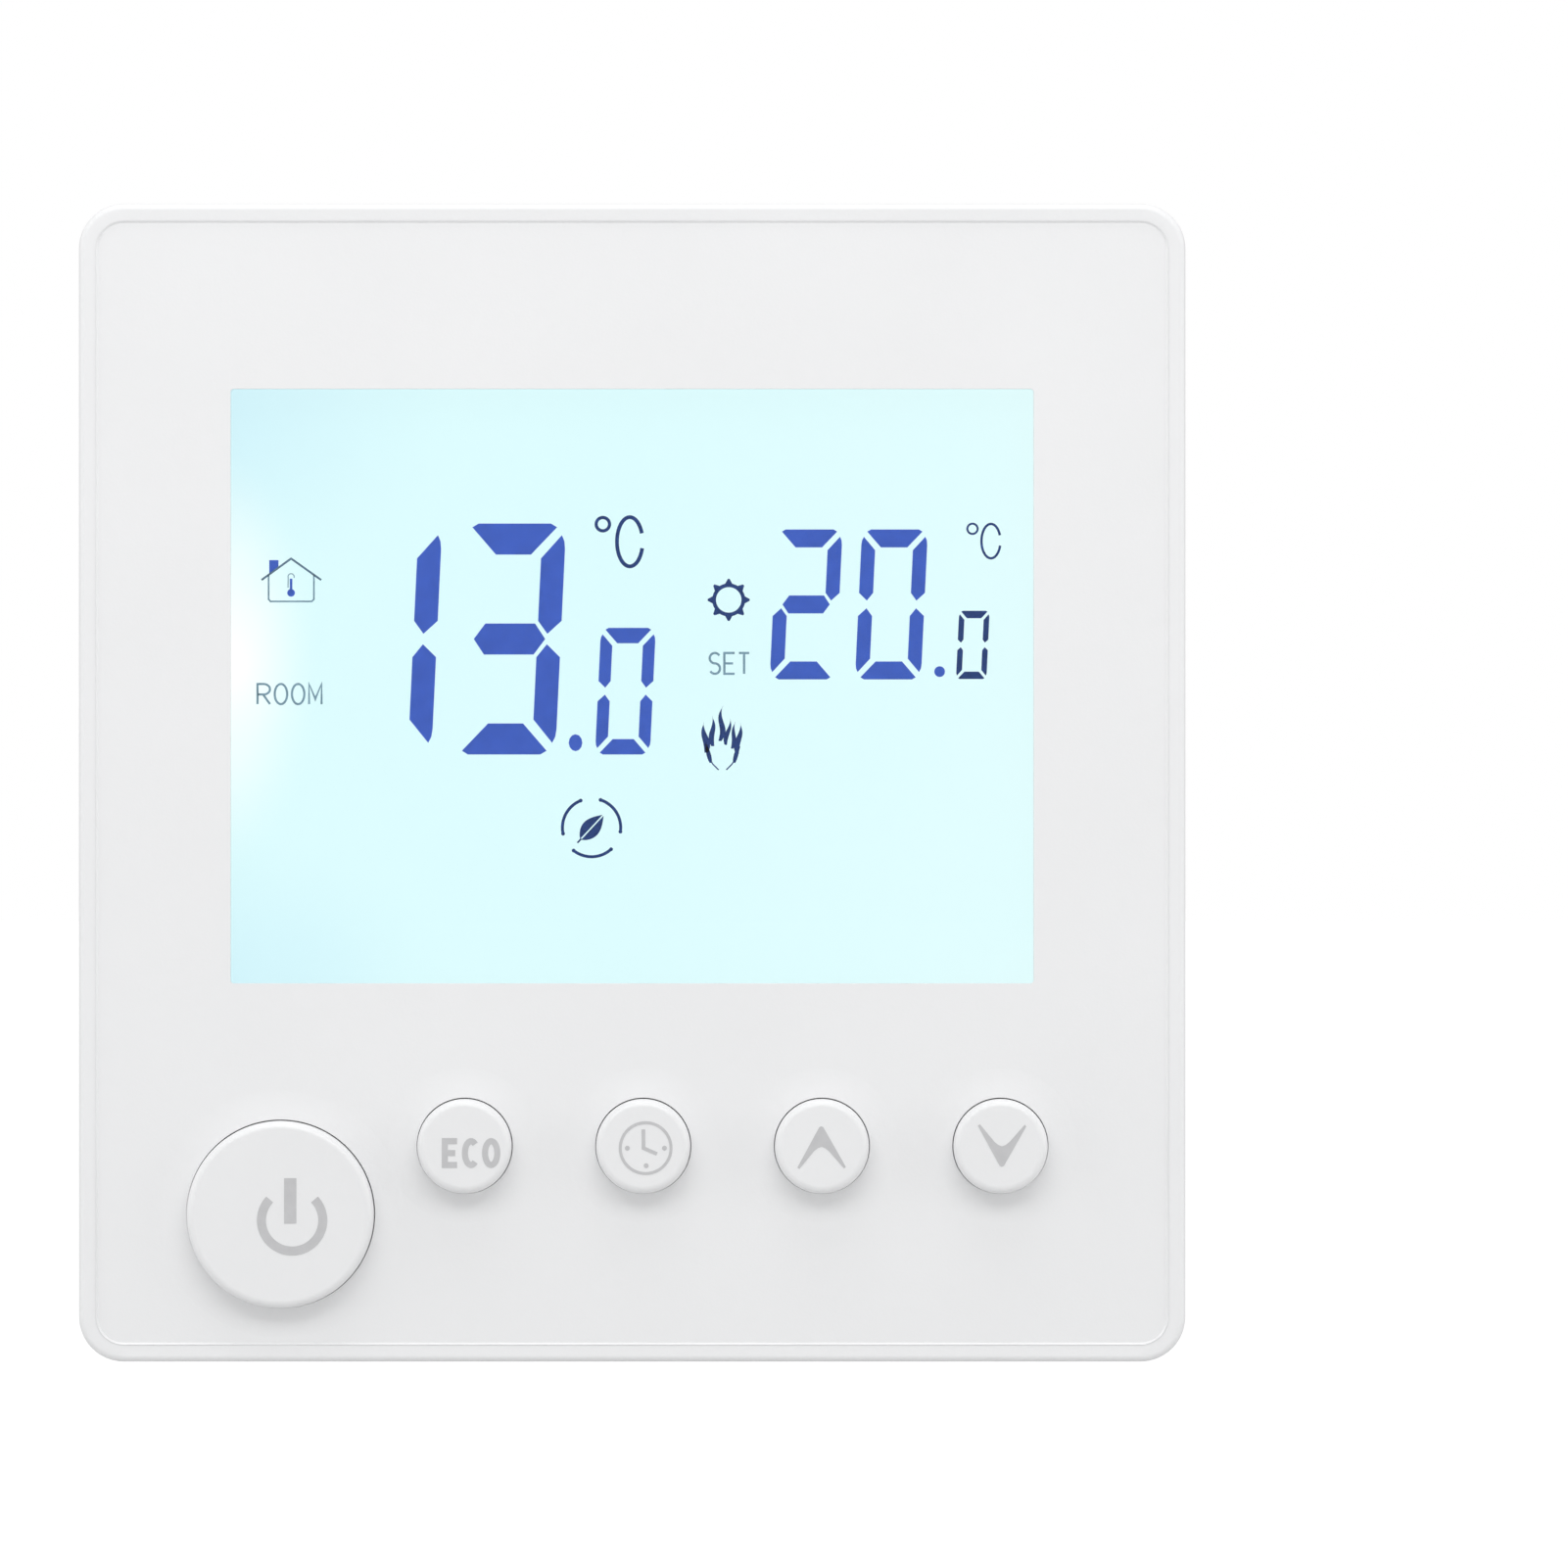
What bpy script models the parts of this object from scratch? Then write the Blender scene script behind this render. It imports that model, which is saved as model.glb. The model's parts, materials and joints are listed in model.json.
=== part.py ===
"""Wall thermostat for electric or water heating.

A clip-on front unit with a display and five buttons covers a power base that sits in a
square wall box. Metres, +Z up, +X to the right seen from the front, the front faces -Y.
The origin is the centre of the wall plane, midway between the two mounting screws.
"""

import math

import bmesh
import bpy

MM = 0.001

# Clearances
REST_GAP = 0.3 * MM
BUTTON_GAP = 0.2 * MM
PANE_GAP = 0.15 * MM
COVER_TO_FLANGE_GAP = 0.4 * MM
OVERLAP = 1.0 * MM

# Front cover
COVER_WIDTH = 86.0 * MM
COVER_HEIGHT = 90.0 * MM
COVER_DEPTH = 15.0 * MM
COVER_WALL = 2.0 * MM
COVER_CORNER_RADIUS = 3.5 * MM
COVER_EDGE_FILLET = 0.5 * MM
COVER_CORNER_STEPS = 6
FACE_THICKNESS = 2.3 * MM
RIM_WIDTH = 1.2 * MM
RIM_STEP = 0.3 * MM
VENT_COUNT = 9
VENT_PITCH = 5.0 * MM
VENT_WIDTH = 1.6 * MM
VENT_LENGTH = 6.0 * MM
PRY_NOTCH_WIDTH = 9.0 * MM
PRY_NOTCH_DEPTH = 1.5 * MM
PRY_NOTCH_OFFSET = 30.0 * MM

# Display stack, front to back
WINDOW_WIDTH = 62.4 * MM
WINDOW_HEIGHT = 46.2 * MM
WINDOW_RISE = 7.5 * MM
PANE_RECESS = 0.1 * MM
PANE_LIP = 1.8 * MM
PANE_LIP_THICKNESS = 1.0 * MM
PANE_CORNER_RADIUS = 0.3 * MM
PANE_CORNER_STEPS = 2
GLASS_BORDER = 1.8 * MM
GLASS_CONTACT_LEDGE = 3.2 * MM
GLASS_THICKNESS = 2.0 * MM
LIGHT_GUIDE_BORDER = 1.0 * MM
LIGHT_GUIDE_THICKNESS = 2.2 * MM
LED_WIDTH = 2.6 * MM
LED_LENGTH = 7.0 * MM
LED_THICKNESS = 1.6 * MM
LED_RISE = 11.0 * MM
ZEBRA_LENGTH = 52.0 * MM
ZEBRA_HEIGHT = 1.6 * MM
HOLDER_WALL = 1.5 * MM
HOLDER_SIDE = 3.9 * MM

# Main board and what it carries
BOARD_THICKNESS = 1.6 * MM
BOARD_EDGE_GAP = 1.0 * MM
BOARD_CORNER_RADIUS = 1.5 * MM
SCREW_INSET_TOP = 5.0 * MM
SCREW_INSET_BOTTOM = 3.6 * MM
SCREW_INSET_SIDE = 5.0 * MM
LOWER_LEFT_SCREW_X = -13.0 * MM
BOSS_RADIUS = 2.3 * MM
BOSS_BORE_RADIUS = 1.4 * MM
BOARD_SCREW_RADIUS = 1.1 * MM
BOARD_SCREW_LENGTH = 6.0 * MM
SMALL_HEAD_RADIUS = 2.0 * MM
SMALL_HEAD_HEIGHT = 1.3 * MM
SMALL_DRIVER_SLOT = 0.6 * MM
MCU_SIZE = 10.0 * MM
MCU_THICKNESS = 1.4 * MM
MCU_PLACE = (-12.0 * MM, 4.0 * MM)
BATTERY_RADIUS = 6.25 * MM
BATTERY_THICKNESS = 1.6 * MM
BATTERY_PLACE = (12.0 * MM, 4.0 * MM)
BATTERY_RIM_INSET = 0.6 * MM
BATTERY_RIM_DEPTH = 0.3 * MM
BATTERY_HOLDER_WALL = 1.2 * MM
BATTERY_HOLDER_CORNER_RADIUS = 2.0 * MM
BATTERY_HOLDER_FLOOR = 0.4 * MM
BATTERY_STEPS = 28
SENSOR_RADIUS = 1.2 * MM
SENSOR_TIP_RADIUS = 0.6 * MM
SENSOR_LENGTH = 3.0 * MM
SENSOR_LEAD_RADIUS = 0.5 * MM
SENSOR_LEAD_LENGTH = 1.0 * MM
SENSOR_TAPER = 0.4 * MM
SENSOR_STEPS = 14
SENSOR_PLACE_X = 6.0 * MM

# Buttons
POWER_CAP_RADIUS = 7.3 * MM
SMALL_CAP_RADIUS = 3.7 * MM
BUTTON_PROUD = 1.9 * MM
BUTTON_TRAVEL = 0.5 * MM
CAP_FILLET = 0.5 * MM
CAP_FILLET_ANGLES = (0, 30, 60, 90)
CAP_FLANGE = 0.9 * MM
CAP_FLANGE_THICKNESS = 0.8 * MM
CAP_STEM_RADIUS = 1.6 * MM
COLLAR_WALL = 0.7 * MM
COLLAR_GAP = 0.4 * MM
COLLAR_HEIGHT = 2.6 * MM
POWER_CAP_STEPS = 32
SMALL_CAP_STEPS = 24
POWER_TO_SIDE_EDGE = 8.4 * MM
POWER_TO_BOTTOM_EDGE = 4.2 * MM
SMALL_CENTRE_TO_BOTTOM_EDGE = 16.8 * MM
POWER_TO_SMALL_LAND = 4.25 * MM
SMALL_BUTTON_PITCH = 13.87 * MM
SMALL_BUTTON_NAMES = ("eco", "clock", "up", "down")
SWITCH_SIZE = 6.0 * MM
SWITCH_HEIGHT = 3.5 * MM
PLUNGER_RADIUS = 1.7 * MM
PLUNGER_PROUD = 0.9 * MM
PLUNGER_SUNK = 0.9 * MM

# Rear housing
FLANGE_THICKNESS = 2.4 * MM
FLANGE_CORNER_RADIUS = 1.5 * MM
BOX_WIDTH = 54.0 * MM
BOX_HEIGHT = 58.0 * MM
BOX_DEPTH = 28.0 * MM
BOX_WALL = 1.8 * MM
TERMINAL_BAY_HEIGHT = 14.0 * MM
TERMINAL_BAY_FLOOR = 11.0 * MM
TAB_WIDTH = 8.0 * MM
TAB_THICKNESS = 1.2 * MM
TAB_OFFSET = 22.0 * MM
BOX_VENT_COUNT = 5
BOX_VENT_PITCH = 4.0 * MM
BOX_VENT_WIDTH = 1.6 * MM
BOX_VENT_LENGTH = 10.0 * MM
LABEL_WIDTH = 38.0 * MM
LABEL_HEIGHT = 28.0 * MM
LABEL_THICKNESS = 0.2 * MM
LABEL_CORNER_RADIUS = 1.0 * MM

# Mounting screws, M4 x 25 pan heads at a 60 mm pitch, in slots
MOUNT_PITCH = 60.0 * MM
MOUNT_SLOT_WIDTH = 4.6 * MM
MOUNT_SLOT_INNER = 59.2 * MM
MOUNT_SLOT_OUTER = 63.2 * MM
MOUNT_SCREW_RADIUS = 2.0 * MM
MOUNT_SCREW_LENGTH = 25.0 * MM
MOUNT_SCREW_TIP = 0.6 * MM
MOUNT_DRIVER_SLOT_WIDTH = 1.0 * MM
MOUNT_DRIVER_SLOT_DEPTH = 1.2 * MM
MOUNT_HEAD_RADIUS = 3.4 * MM
MOUNT_HEAD_HEIGHT = 2.4 * MM
MOUNT_POCKET_WIDTH = 8.4 * MM
MOUNT_PAD_THICKNESS = 1.2 * MM

# Inner cover, its screws and the power board
INNER_COVER_THICKNESS = 1.6 * MM
POST_RADIUS = 2.4 * MM
POST_INSET = 3.2 * MM
POWER_BOARD_FRONT = 6.0 * MM
LEDGE_WIDTH = 1.6 * MM
LEDGE_THICKNESS = 1.5 * MM
RELAY_SIZE = (15.4 * MM, 15.0 * MM, 19.0 * MM)
TRANSFORMER_CORE = (13.0 * MM, 12.0 * MM, 11.0 * MM)
TRANSFORMER_COIL = (9.0 * MM, 9.5 * MM, 16.0 * MM)
FILM_CAPACITOR_SIZE = (13.0 * MM, 11.0 * MM, 5.0 * MM)
FILTER_CAPACITOR_RADIUS = 4.0 * MM
FILTER_CAPACITOR_LENGTH = 12.0 * MM
CAPACITOR_GROOVE_PLACE = 1.4 * MM
CAPACITOR_GROOVE = 0.4 * MM
VARISTOR_RADIUS = 3.6 * MM
VARISTOR_THICKNESS = 3.6 * MM
VARISTOR_CHAMFER = 0.5 * MM
FUSE_RADIUS = 4.1 * MM
FUSE_LENGTH = 7.5 * MM
FUSE_CHAMFER = 0.5 * MM
COMPONENT_CORNER_RADIUS = 0.6 * MM
PART_TO_LEDGE = 0.5 * MM

# Plug connection between the two boards
HEADER_PINS = 8
HEADER_PITCH = 2.54 * MM
HEADER_Z = -19.0 * MM
HEADER_STRIP_DEPTH = 2.6 * MM
HEADER_STRIP_HEIGHT = 2.3 * MM
HEADER_PIN_SIZE = 0.64 * MM
HEADER_PIN_REACH = 5.2 * MM
SOCKET_DEPTH = 4.0 * MM
SOCKET_HOLE = 1.3 * MM

# Terminal block with rising clamps
TERMINAL_COUNT = 6
TERMINAL_PITCH = 7.5 * MM
TERMINAL_BLOCK_HEIGHT = 15.0 * MM
TERMINAL_BLOCK_END = 0.6 * MM
CHAMBER_WIDTH = 6.2 * MM
CHAMBER_LENGTH = 8.6 * MM
CHAMBER_FLOOR = 1.7 * MM
CLAMP_WIDTH = 5.4 * MM
CLAMP_LENGTH = 5.2 * MM
CLAMP_SIDE = 0.8 * MM
CLAMP_BASE = 1.0 * MM
CLAMP_TOP = 1.6 * MM
WIRE_OPENING = 3.9 * MM
CLAMP_TRAVEL = 1.4 * MM
TERMINAL_SCREW_RADIUS = 1.45 * MM
TERMINAL_HEAD_RADIUS = 1.9 * MM
TERMINAL_HEAD_HEIGHT = 2.0 * MM
TERMINAL_SHOULDER = 1.2 * MM
TERMINAL_DRIVER_SLOT_WIDTH = 0.7 * MM
TERMINAL_DRIVER_SLOT_DEPTH = 0.8 * MM
TERMINAL_HOLE_STEPS = 20

# Screw heads, and how finely round shapes are turned
HEAD_TOP_SHARE = 0.75
HEAD_CROWN_SHARE = 0.25
FILLET_MIDDLE_SHARE = 1 - math.sqrt(0.5)
CORNER_STEPS = 5
BORE_STEPS = 12
SCREW_STEPS = 16
TURNED_STEPS = 24
SLOT_END_STEPS = 8
SMOOTH_ANGLE = math.radians(35)

# Depths along Y, all measured from the wall plane or the face
RIM_Y = -COVER_DEPTH
FACE_Y = RIM_Y + RIM_STEP
FACE_BACK_Y = FACE_Y + FACE_THICKNESS
COVER_BACK_Y = -COVER_TO_FLANGE_GAP
PANE_FRONT_Y = FACE_Y + PANE_RECESS
PANE_LIP_Y = FACE_BACK_Y + REST_GAP
PANE_BACK_Y = PANE_LIP_Y + PANE_LIP_THICKNESS
GLASS_FRONT_Y = PANE_BACK_Y + REST_GAP
GLASS_BACK_Y = GLASS_FRONT_Y + GLASS_THICKNESS
GUIDE_FRONT_Y = GLASS_BACK_Y + REST_GAP
GUIDE_BACK_Y = GUIDE_FRONT_Y + LIGHT_GUIDE_THICKNESS
BOARD_FRONT_Y = GUIDE_BACK_Y + REST_GAP
BOARD_BACK_Y = BOARD_FRONT_Y + BOARD_THICKNESS
SWITCH_BACK_Y = BOARD_FRONT_Y - REST_GAP
SWITCH_FRONT_Y = SWITCH_BACK_Y - SWITCH_HEIGHT
PLUNGER_FRONT_Y = SWITCH_FRONT_Y - PLUNGER_PROUD
PLUNGER_BACK_Y = SWITCH_FRONT_Y + PLUNGER_SUNK
CAP_FLANGE_FRONT_Y = FACE_BACK_Y + REST_GAP
FLANGE_FRONT_Y = -FLANGE_THICKNESS
POWER_BOARD_BACK = POWER_BOARD_FRONT + BOARD_THICKNESS
PART_Y = POWER_BOARD_BACK + REST_GAP
BAY_FLOOR_INSIDE = TERMINAL_BAY_FLOOR - BOX_WALL
BLOCK_FRONT_Y = TERMINAL_BAY_FLOOR + REST_GAP
BLOCK_BACK_Y = BLOCK_FRONT_Y + TERMINAL_BLOCK_HEIGHT

# Half sizes across X and Z
CAVITY_HALF_X = COVER_WIDTH / 2 - COVER_WALL
CAVITY_HALF_Z = COVER_HEIGHT / 2 - COVER_WALL
FLANGE_HALF_X = CAVITY_HALF_X - COVER_TO_FLANGE_GAP
FLANGE_HALF_Z = CAVITY_HALF_Z - COVER_TO_FLANGE_GAP
BOARD_HALF_X = CAVITY_HALF_X - BOARD_EDGE_GAP
BOARD_HALF_Z = CAVITY_HALF_Z - BOARD_EDGE_GAP
BOX_HALF_X = BOX_WIDTH / 2
BOX_HALF_Z = BOX_HEIGHT / 2
INSIDE_HALF_X = BOX_HALF_X - BOX_WALL
INSIDE_HALF_Z = BOX_HALF_Z - BOX_WALL
BAY_TOP_Z = -BOX_HALF_Z + TERMINAL_BAY_HEIGHT
GLASS_HALF_X = WINDOW_WIDTH / 2 + GLASS_BORDER
GLASS_TOP_Z = WINDOW_RISE + WINDOW_HEIGHT / 2 + GLASS_BORDER
GLASS_BOTTOM_Z = WINDOW_RISE - WINDOW_HEIGHT / 2 - GLASS_CONTACT_LEDGE
GUIDE_HALF_X = WINDOW_WIDTH / 2 + LIGHT_GUIDE_BORDER
GUIDE_TOP_Z = WINDOW_RISE + WINDOW_HEIGHT / 2 + LIGHT_GUIDE_BORDER
GUIDE_BOTTOM_Z = WINDOW_RISE - WINDOW_HEIGHT / 2 - LIGHT_GUIDE_BORDER

# Button places: the power button from the left and bottom edges, the small row from it
POWER_PLACE = (-COVER_WIDTH / 2 + POWER_TO_SIDE_EDGE + POWER_CAP_RADIUS,
               -COVER_HEIGHT / 2 + POWER_TO_BOTTOM_EDGE + POWER_CAP_RADIUS)
SMALL_BUTTON_Z = -COVER_HEIGHT / 2 + SMALL_CENTRE_TO_BOTTOM_EDGE
POWER_TO_SMALL = POWER_CAP_RADIUS + POWER_TO_SMALL_LAND + SMALL_CAP_RADIUS
SMALL_ROW_RISE = SMALL_BUTTON_Z - POWER_PLACE[1]
SMALL_BUTTON_START = POWER_PLACE[0] + math.sqrt(POWER_TO_SMALL**2 - SMALL_ROW_RISE**2)
SMALL_BUTTONS = [
    (name, (SMALL_BUTTON_START + index * SMALL_BUTTON_PITCH, SMALL_BUTTON_Z), SMALL_CAP_RADIUS,
     SMALL_CAP_STEPS)
    for index, name in enumerate(SMALL_BUTTON_NAMES)
]
BUTTONS = [("power", POWER_PLACE, POWER_CAP_RADIUS, POWER_CAP_STEPS)] + SMALL_BUTTONS
BOARD_SCREWS = [
    (-CAVITY_HALF_X + SCREW_INSET_SIDE, CAVITY_HALF_Z - SCREW_INSET_TOP),
    (CAVITY_HALF_X - SCREW_INSET_SIDE, CAVITY_HALF_Z - SCREW_INSET_TOP),
    (LOWER_LEFT_SCREW_X, -CAVITY_HALF_Z + SCREW_INSET_BOTTOM),
    (CAVITY_HALF_X - SCREW_INSET_SIDE, -CAVITY_HALF_Z + SCREW_INSET_BOTTOM),
]
POSTS = [
    (-INSIDE_HALF_X + POST_INSET, INSIDE_HALF_Z - POST_INSET),
    (INSIDE_HALF_X - POST_INSET, -INSIDE_HALF_Z + POST_INSET),
]
# Component places on the power board: two rows between the ledges
ROW_HALF_X = INSIDE_HALF_X - LEDGE_WIDTH - PART_TO_LEDGE
UPPER_ROW_TOP = INSIDE_HALF_Z - POST_INSET - POST_RADIUS - OVERLAP
LOWER_ROW_BOTTOM = BAY_TOP_Z + BOX_WALL + OVERLAP
RELAY_PLACE = (-ROW_HALF_X + RELAY_SIZE[0] / 2, UPPER_ROW_TOP - RELAY_SIZE[2] / 2)
FILTER_CAPACITOR_PLACE = (ROW_HALF_X - FILTER_CAPACITOR_RADIUS, UPPER_ROW_TOP - FILTER_CAPACITOR_RADIUS)
TRANSFORMER_PLACE = ((RELAY_SIZE[0] - 2 * FILTER_CAPACITOR_RADIUS) / 2,
                     UPPER_ROW_TOP - TRANSFORMER_COIL[2] / 2)
FILM_CAPACITOR_PLACE = (-ROW_HALF_X + FILM_CAPACITOR_SIZE[0] / 2,
                        LOWER_ROW_BOTTOM + FILM_CAPACITOR_SIZE[2] / 2)
VARISTOR_PLACE = (ROW_HALF_X - VARISTOR_RADIUS, LOWER_ROW_BOTTOM + VARISTOR_RADIUS)
FUSE_PLACE = ((FILM_CAPACITOR_SIZE[0] - 2 * VARISTOR_RADIUS) / 2, LOWER_ROW_BOTTOM + FUSE_RADIUS)
TERMINAL_Z = (-BOX_HALF_Z + BAY_TOP_Z) / 2
TERMINAL_XS = [
    (index - (TERMINAL_COUNT - 1) / 2) * TERMINAL_PITCH for index in range(TERMINAL_COUNT)
]
HEADER_XS = [(index - (HEADER_PINS - 1) / 2) * HEADER_PITCH for index in range(HEADER_PINS)]
HEADER_HALF_X = HEADER_PINS * HEADER_PITCH / 2

MATERIALS = {
    "white_abs": ((0.86, 0.87, 0.88), 0.45, 0.0),
    "white_cap": ((0.84, 0.85, 0.86), 0.35, 0.0),
    "clear_acrylic": ((0.80, 0.95, 0.97), 0.08, 0.0),
    "lcd_glass": ((0.70, 0.93, 0.96), 0.10, 0.0),
    "light_guide": ((0.90, 0.97, 1.00), 0.20, 0.0),
    "led_white": ((0.95, 0.95, 0.85), 0.40, 0.0),
    "holder_white": ((0.80, 0.80, 0.78), 0.50, 0.0),
    "rubber_grey": ((0.10, 0.10, 0.11), 0.70, 0.0),
    "board_green": ((0.02, 0.18, 0.08), 0.45, 0.0),
    "black_plastic": ((0.03, 0.03, 0.03), 0.50, 0.0),
    "switch_black": ((0.04, 0.04, 0.05), 0.45, 0.0),
    "housing_grey": ((0.78, 0.79, 0.80), 0.50, 0.0),
    "terminal_green": ((0.06, 0.30, 0.14), 0.50, 0.0),
    "label_silver": ((0.82, 0.83, 0.84), 0.40, 0.0),
    "steel": ((0.60, 0.60, 0.62), 0.30, 1.0),
    "zinc_yellow": ((0.62, 0.48, 0.22), 0.30, 1.0),
    "relay_blue": ((0.05, 0.16, 0.42), 0.40, 0.0),
    "capacitor_dark": ((0.05, 0.06, 0.12), 0.40, 0.0),
    "film_yellow": ((0.75, 0.55, 0.08), 0.45, 0.0),
    "varistor_blue": ((0.08, 0.22, 0.50), 0.40, 0.0),
    "ferrite": ((0.09, 0.09, 0.10), 0.60, 0.0),
    "epoxy_black": ((0.02, 0.02, 0.02), 0.35, 0.0),
}


def clear_scene():
    """Remove whatever the scene holds."""
    for item in list(bpy.data.objects):
        bpy.data.objects.remove(item, do_unlink=True)


def get_material(name):
    """Return the named material, made on first use."""
    if name in bpy.data.materials:
        return bpy.data.materials[name]
    colour, roughness, metallic = MATERIALS[name]
    material = bpy.data.materials.new(name)
    material.use_nodes = True
    shader = material.node_tree.nodes["Principled BSDF"]
    shader.inputs["Base Color"].default_value = (*colour, 1.0)
    shader.inputs["Roughness"].default_value = roughness
    shader.inputs["Metallic"].default_value = metallic
    return material


def add_loft(form, rings):
    """Add a closed solid through rings with equal point counts, capped at both ends."""
    loops = [[form.verts.new(point) for point in ring] for ring in rings]
    faces = []
    for lower, upper in zip(loops, loops[1:]):
        for index in range(len(lower)):
            following = (index + 1) % len(lower)
            corners = (lower[index], lower[following], upper[following], upper[index])
            faces.append(form.faces.new(corners))
    faces.append(form.faces.new(list(reversed(loops[0]))))
    faces.append(form.faces.new(loops[-1]))
    bmesh.ops.recalc_face_normals(form, faces=faces)


def add_box(form, x_span, y_span, z_span):
    """Add a box between the two ends of each span."""
    corners = [(x_span[0], z_span[0]), (x_span[1], z_span[0]),
               (x_span[1], z_span[1]), (x_span[0], z_span[1])]
    add_loft(form, [[(x, y, z) for x, z in corners] for y in y_span])


def ring_y(centre, radius, y, steps):
    """Return a circle of points round an axis along Y."""
    turn = 2 * math.pi / steps
    return [(centre[0] + radius * math.cos(turn * (step + 0.5)), y,
             centre[1] + radius * math.sin(turn * (step + 0.5))) for step in range(steps)]


def add_turned(form, centre, profile, steps):
    """Add a solid turned round an axis along Y from (radius, y) pairs."""
    add_loft(form, [ring_y(centre, radius, y, steps) for radius, y in profile])


def rounded_ring(half_x, half_z, radius, y, steps=CORNER_STEPS, centre=(0.0, 0.0)):
    """Return a rounded rectangle of points in a plane across Y."""
    points = []
    for corner, (side_x, side_z) in enumerate(((1, 1), (-1, 1), (-1, -1), (1, -1))):
        for step in range(steps + 1):
            angle = math.radians(90 * (corner + step / steps))
            x = side_x * (half_x - radius) + radius * math.cos(angle)
            z = side_z * (half_z - radius) + radius * math.sin(angle)
            points.append((centre[0] + x, y, centre[1] + z))
    return points


def add_rounded_plate(form, half_x, half_z, radius, y_span, centre=(0.0, 0.0)):
    """Add a plate with rounded corners."""
    add_loft(form, [rounded_ring(half_x, half_z, radius, y, CORNER_STEPS, centre) for y in y_span])


def add_slot(form, x_span, width, y_span):
    """Add a solid with round ends between two arc centres along X."""
    low, high = sorted(x_span)
    points = []
    for centre_x, start in ((high, -90), (low, 90)):
        for step in range(SLOT_END_STEPS + 1):
            angle = math.radians(start + 180 * step / SLOT_END_STEPS)
            points.append((centre_x + width / 2 * math.cos(angle), width / 2 * math.sin(angle)))
    add_loft(form, [[(x, y, z) for x, z in points] for y in y_span])


def add_side_profile(form, x_span, outline):
    """Add a solid with an outline of (y, z) points, extruded along X."""
    add_loft(form, [[(x, y, z) for y, z in outline] for x in x_span])


def make_object(name, form, material, origin=(0.0, 0.0, 0.0), parent=None):
    """Turn a bmesh in world places into a named object with its own origin."""
    bmesh.ops.translate(form, verts=form.verts, vec=[-value for value in origin])
    mesh = bpy.data.meshes.new(name)
    form.to_mesh(mesh)
    form.free()
    item = bpy.data.objects.new(name, mesh)
    bpy.context.scene.collection.objects.link(item)
    item.location = origin
    item.data.materials.append(get_material(material))
    if parent is not None:
        item.parent = parent
    return item


def combine(item, form, operation):
    """Cut or join a bmesh in world places with an object, and keep the result."""
    tool = make_object("tool", form, "steel")
    modifier = item.modifiers.new("shape", "BOOLEAN")
    modifier.operation = operation
    modifier.solver = "EXACT"
    modifier.object = tool
    bpy.context.view_layer.update()
    depsgraph = bpy.context.evaluated_depsgraph_get()
    result = bpy.data.meshes.new_from_object(item.evaluated_get(depsgraph))
    item.modifiers.clear()
    item.data = result
    bpy.data.objects.remove(tool, do_unlink=True)


def cut(item, form):
    """Take a bmesh's solids away from an object."""
    combine(item, form, "DIFFERENCE")


def join(item, form):
    """Join a bmesh's solids to an object."""
    combine(item, form, "UNION")


def finish(item):
    """Keep one material and shade the round faces smooth."""
    slot_material = item.data.materials[0]
    item.data.materials.clear()
    item.data.materials.append(slot_material)
    item.data.shade_smooth()
    item.data.set_sharp_from_angle(angle=SMOOTH_ANGLE)
    return item


def make_empty(name, place, parent=None):
    """Add an empty that carries a moving group."""
    item = bpy.data.objects.new(name, None)
    item.location = place
    item.parent = parent
    bpy.context.scene.collection.objects.link(item)
    return item


def box_piece(name, material, centre, size, y_front):
    """Make a box-shaped component with rounded corners, its front at y_front."""
    form = bmesh.new()
    add_rounded_plate(form, size[0] / 2, size[2] / 2, COMPONENT_CORNER_RADIUS,
                      (y_front, y_front + size[1]), centre)
    return finish(make_object(name, form, material))


def turned_piece(name, material, centre, profile, steps):
    """Make a turned component from (radius, y) pairs."""
    form = bmesh.new()
    add_turned(form, centre, profile, steps)
    return finish(make_object(name, form, material, (centre[0], profile[0][1], centre[1])))


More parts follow.
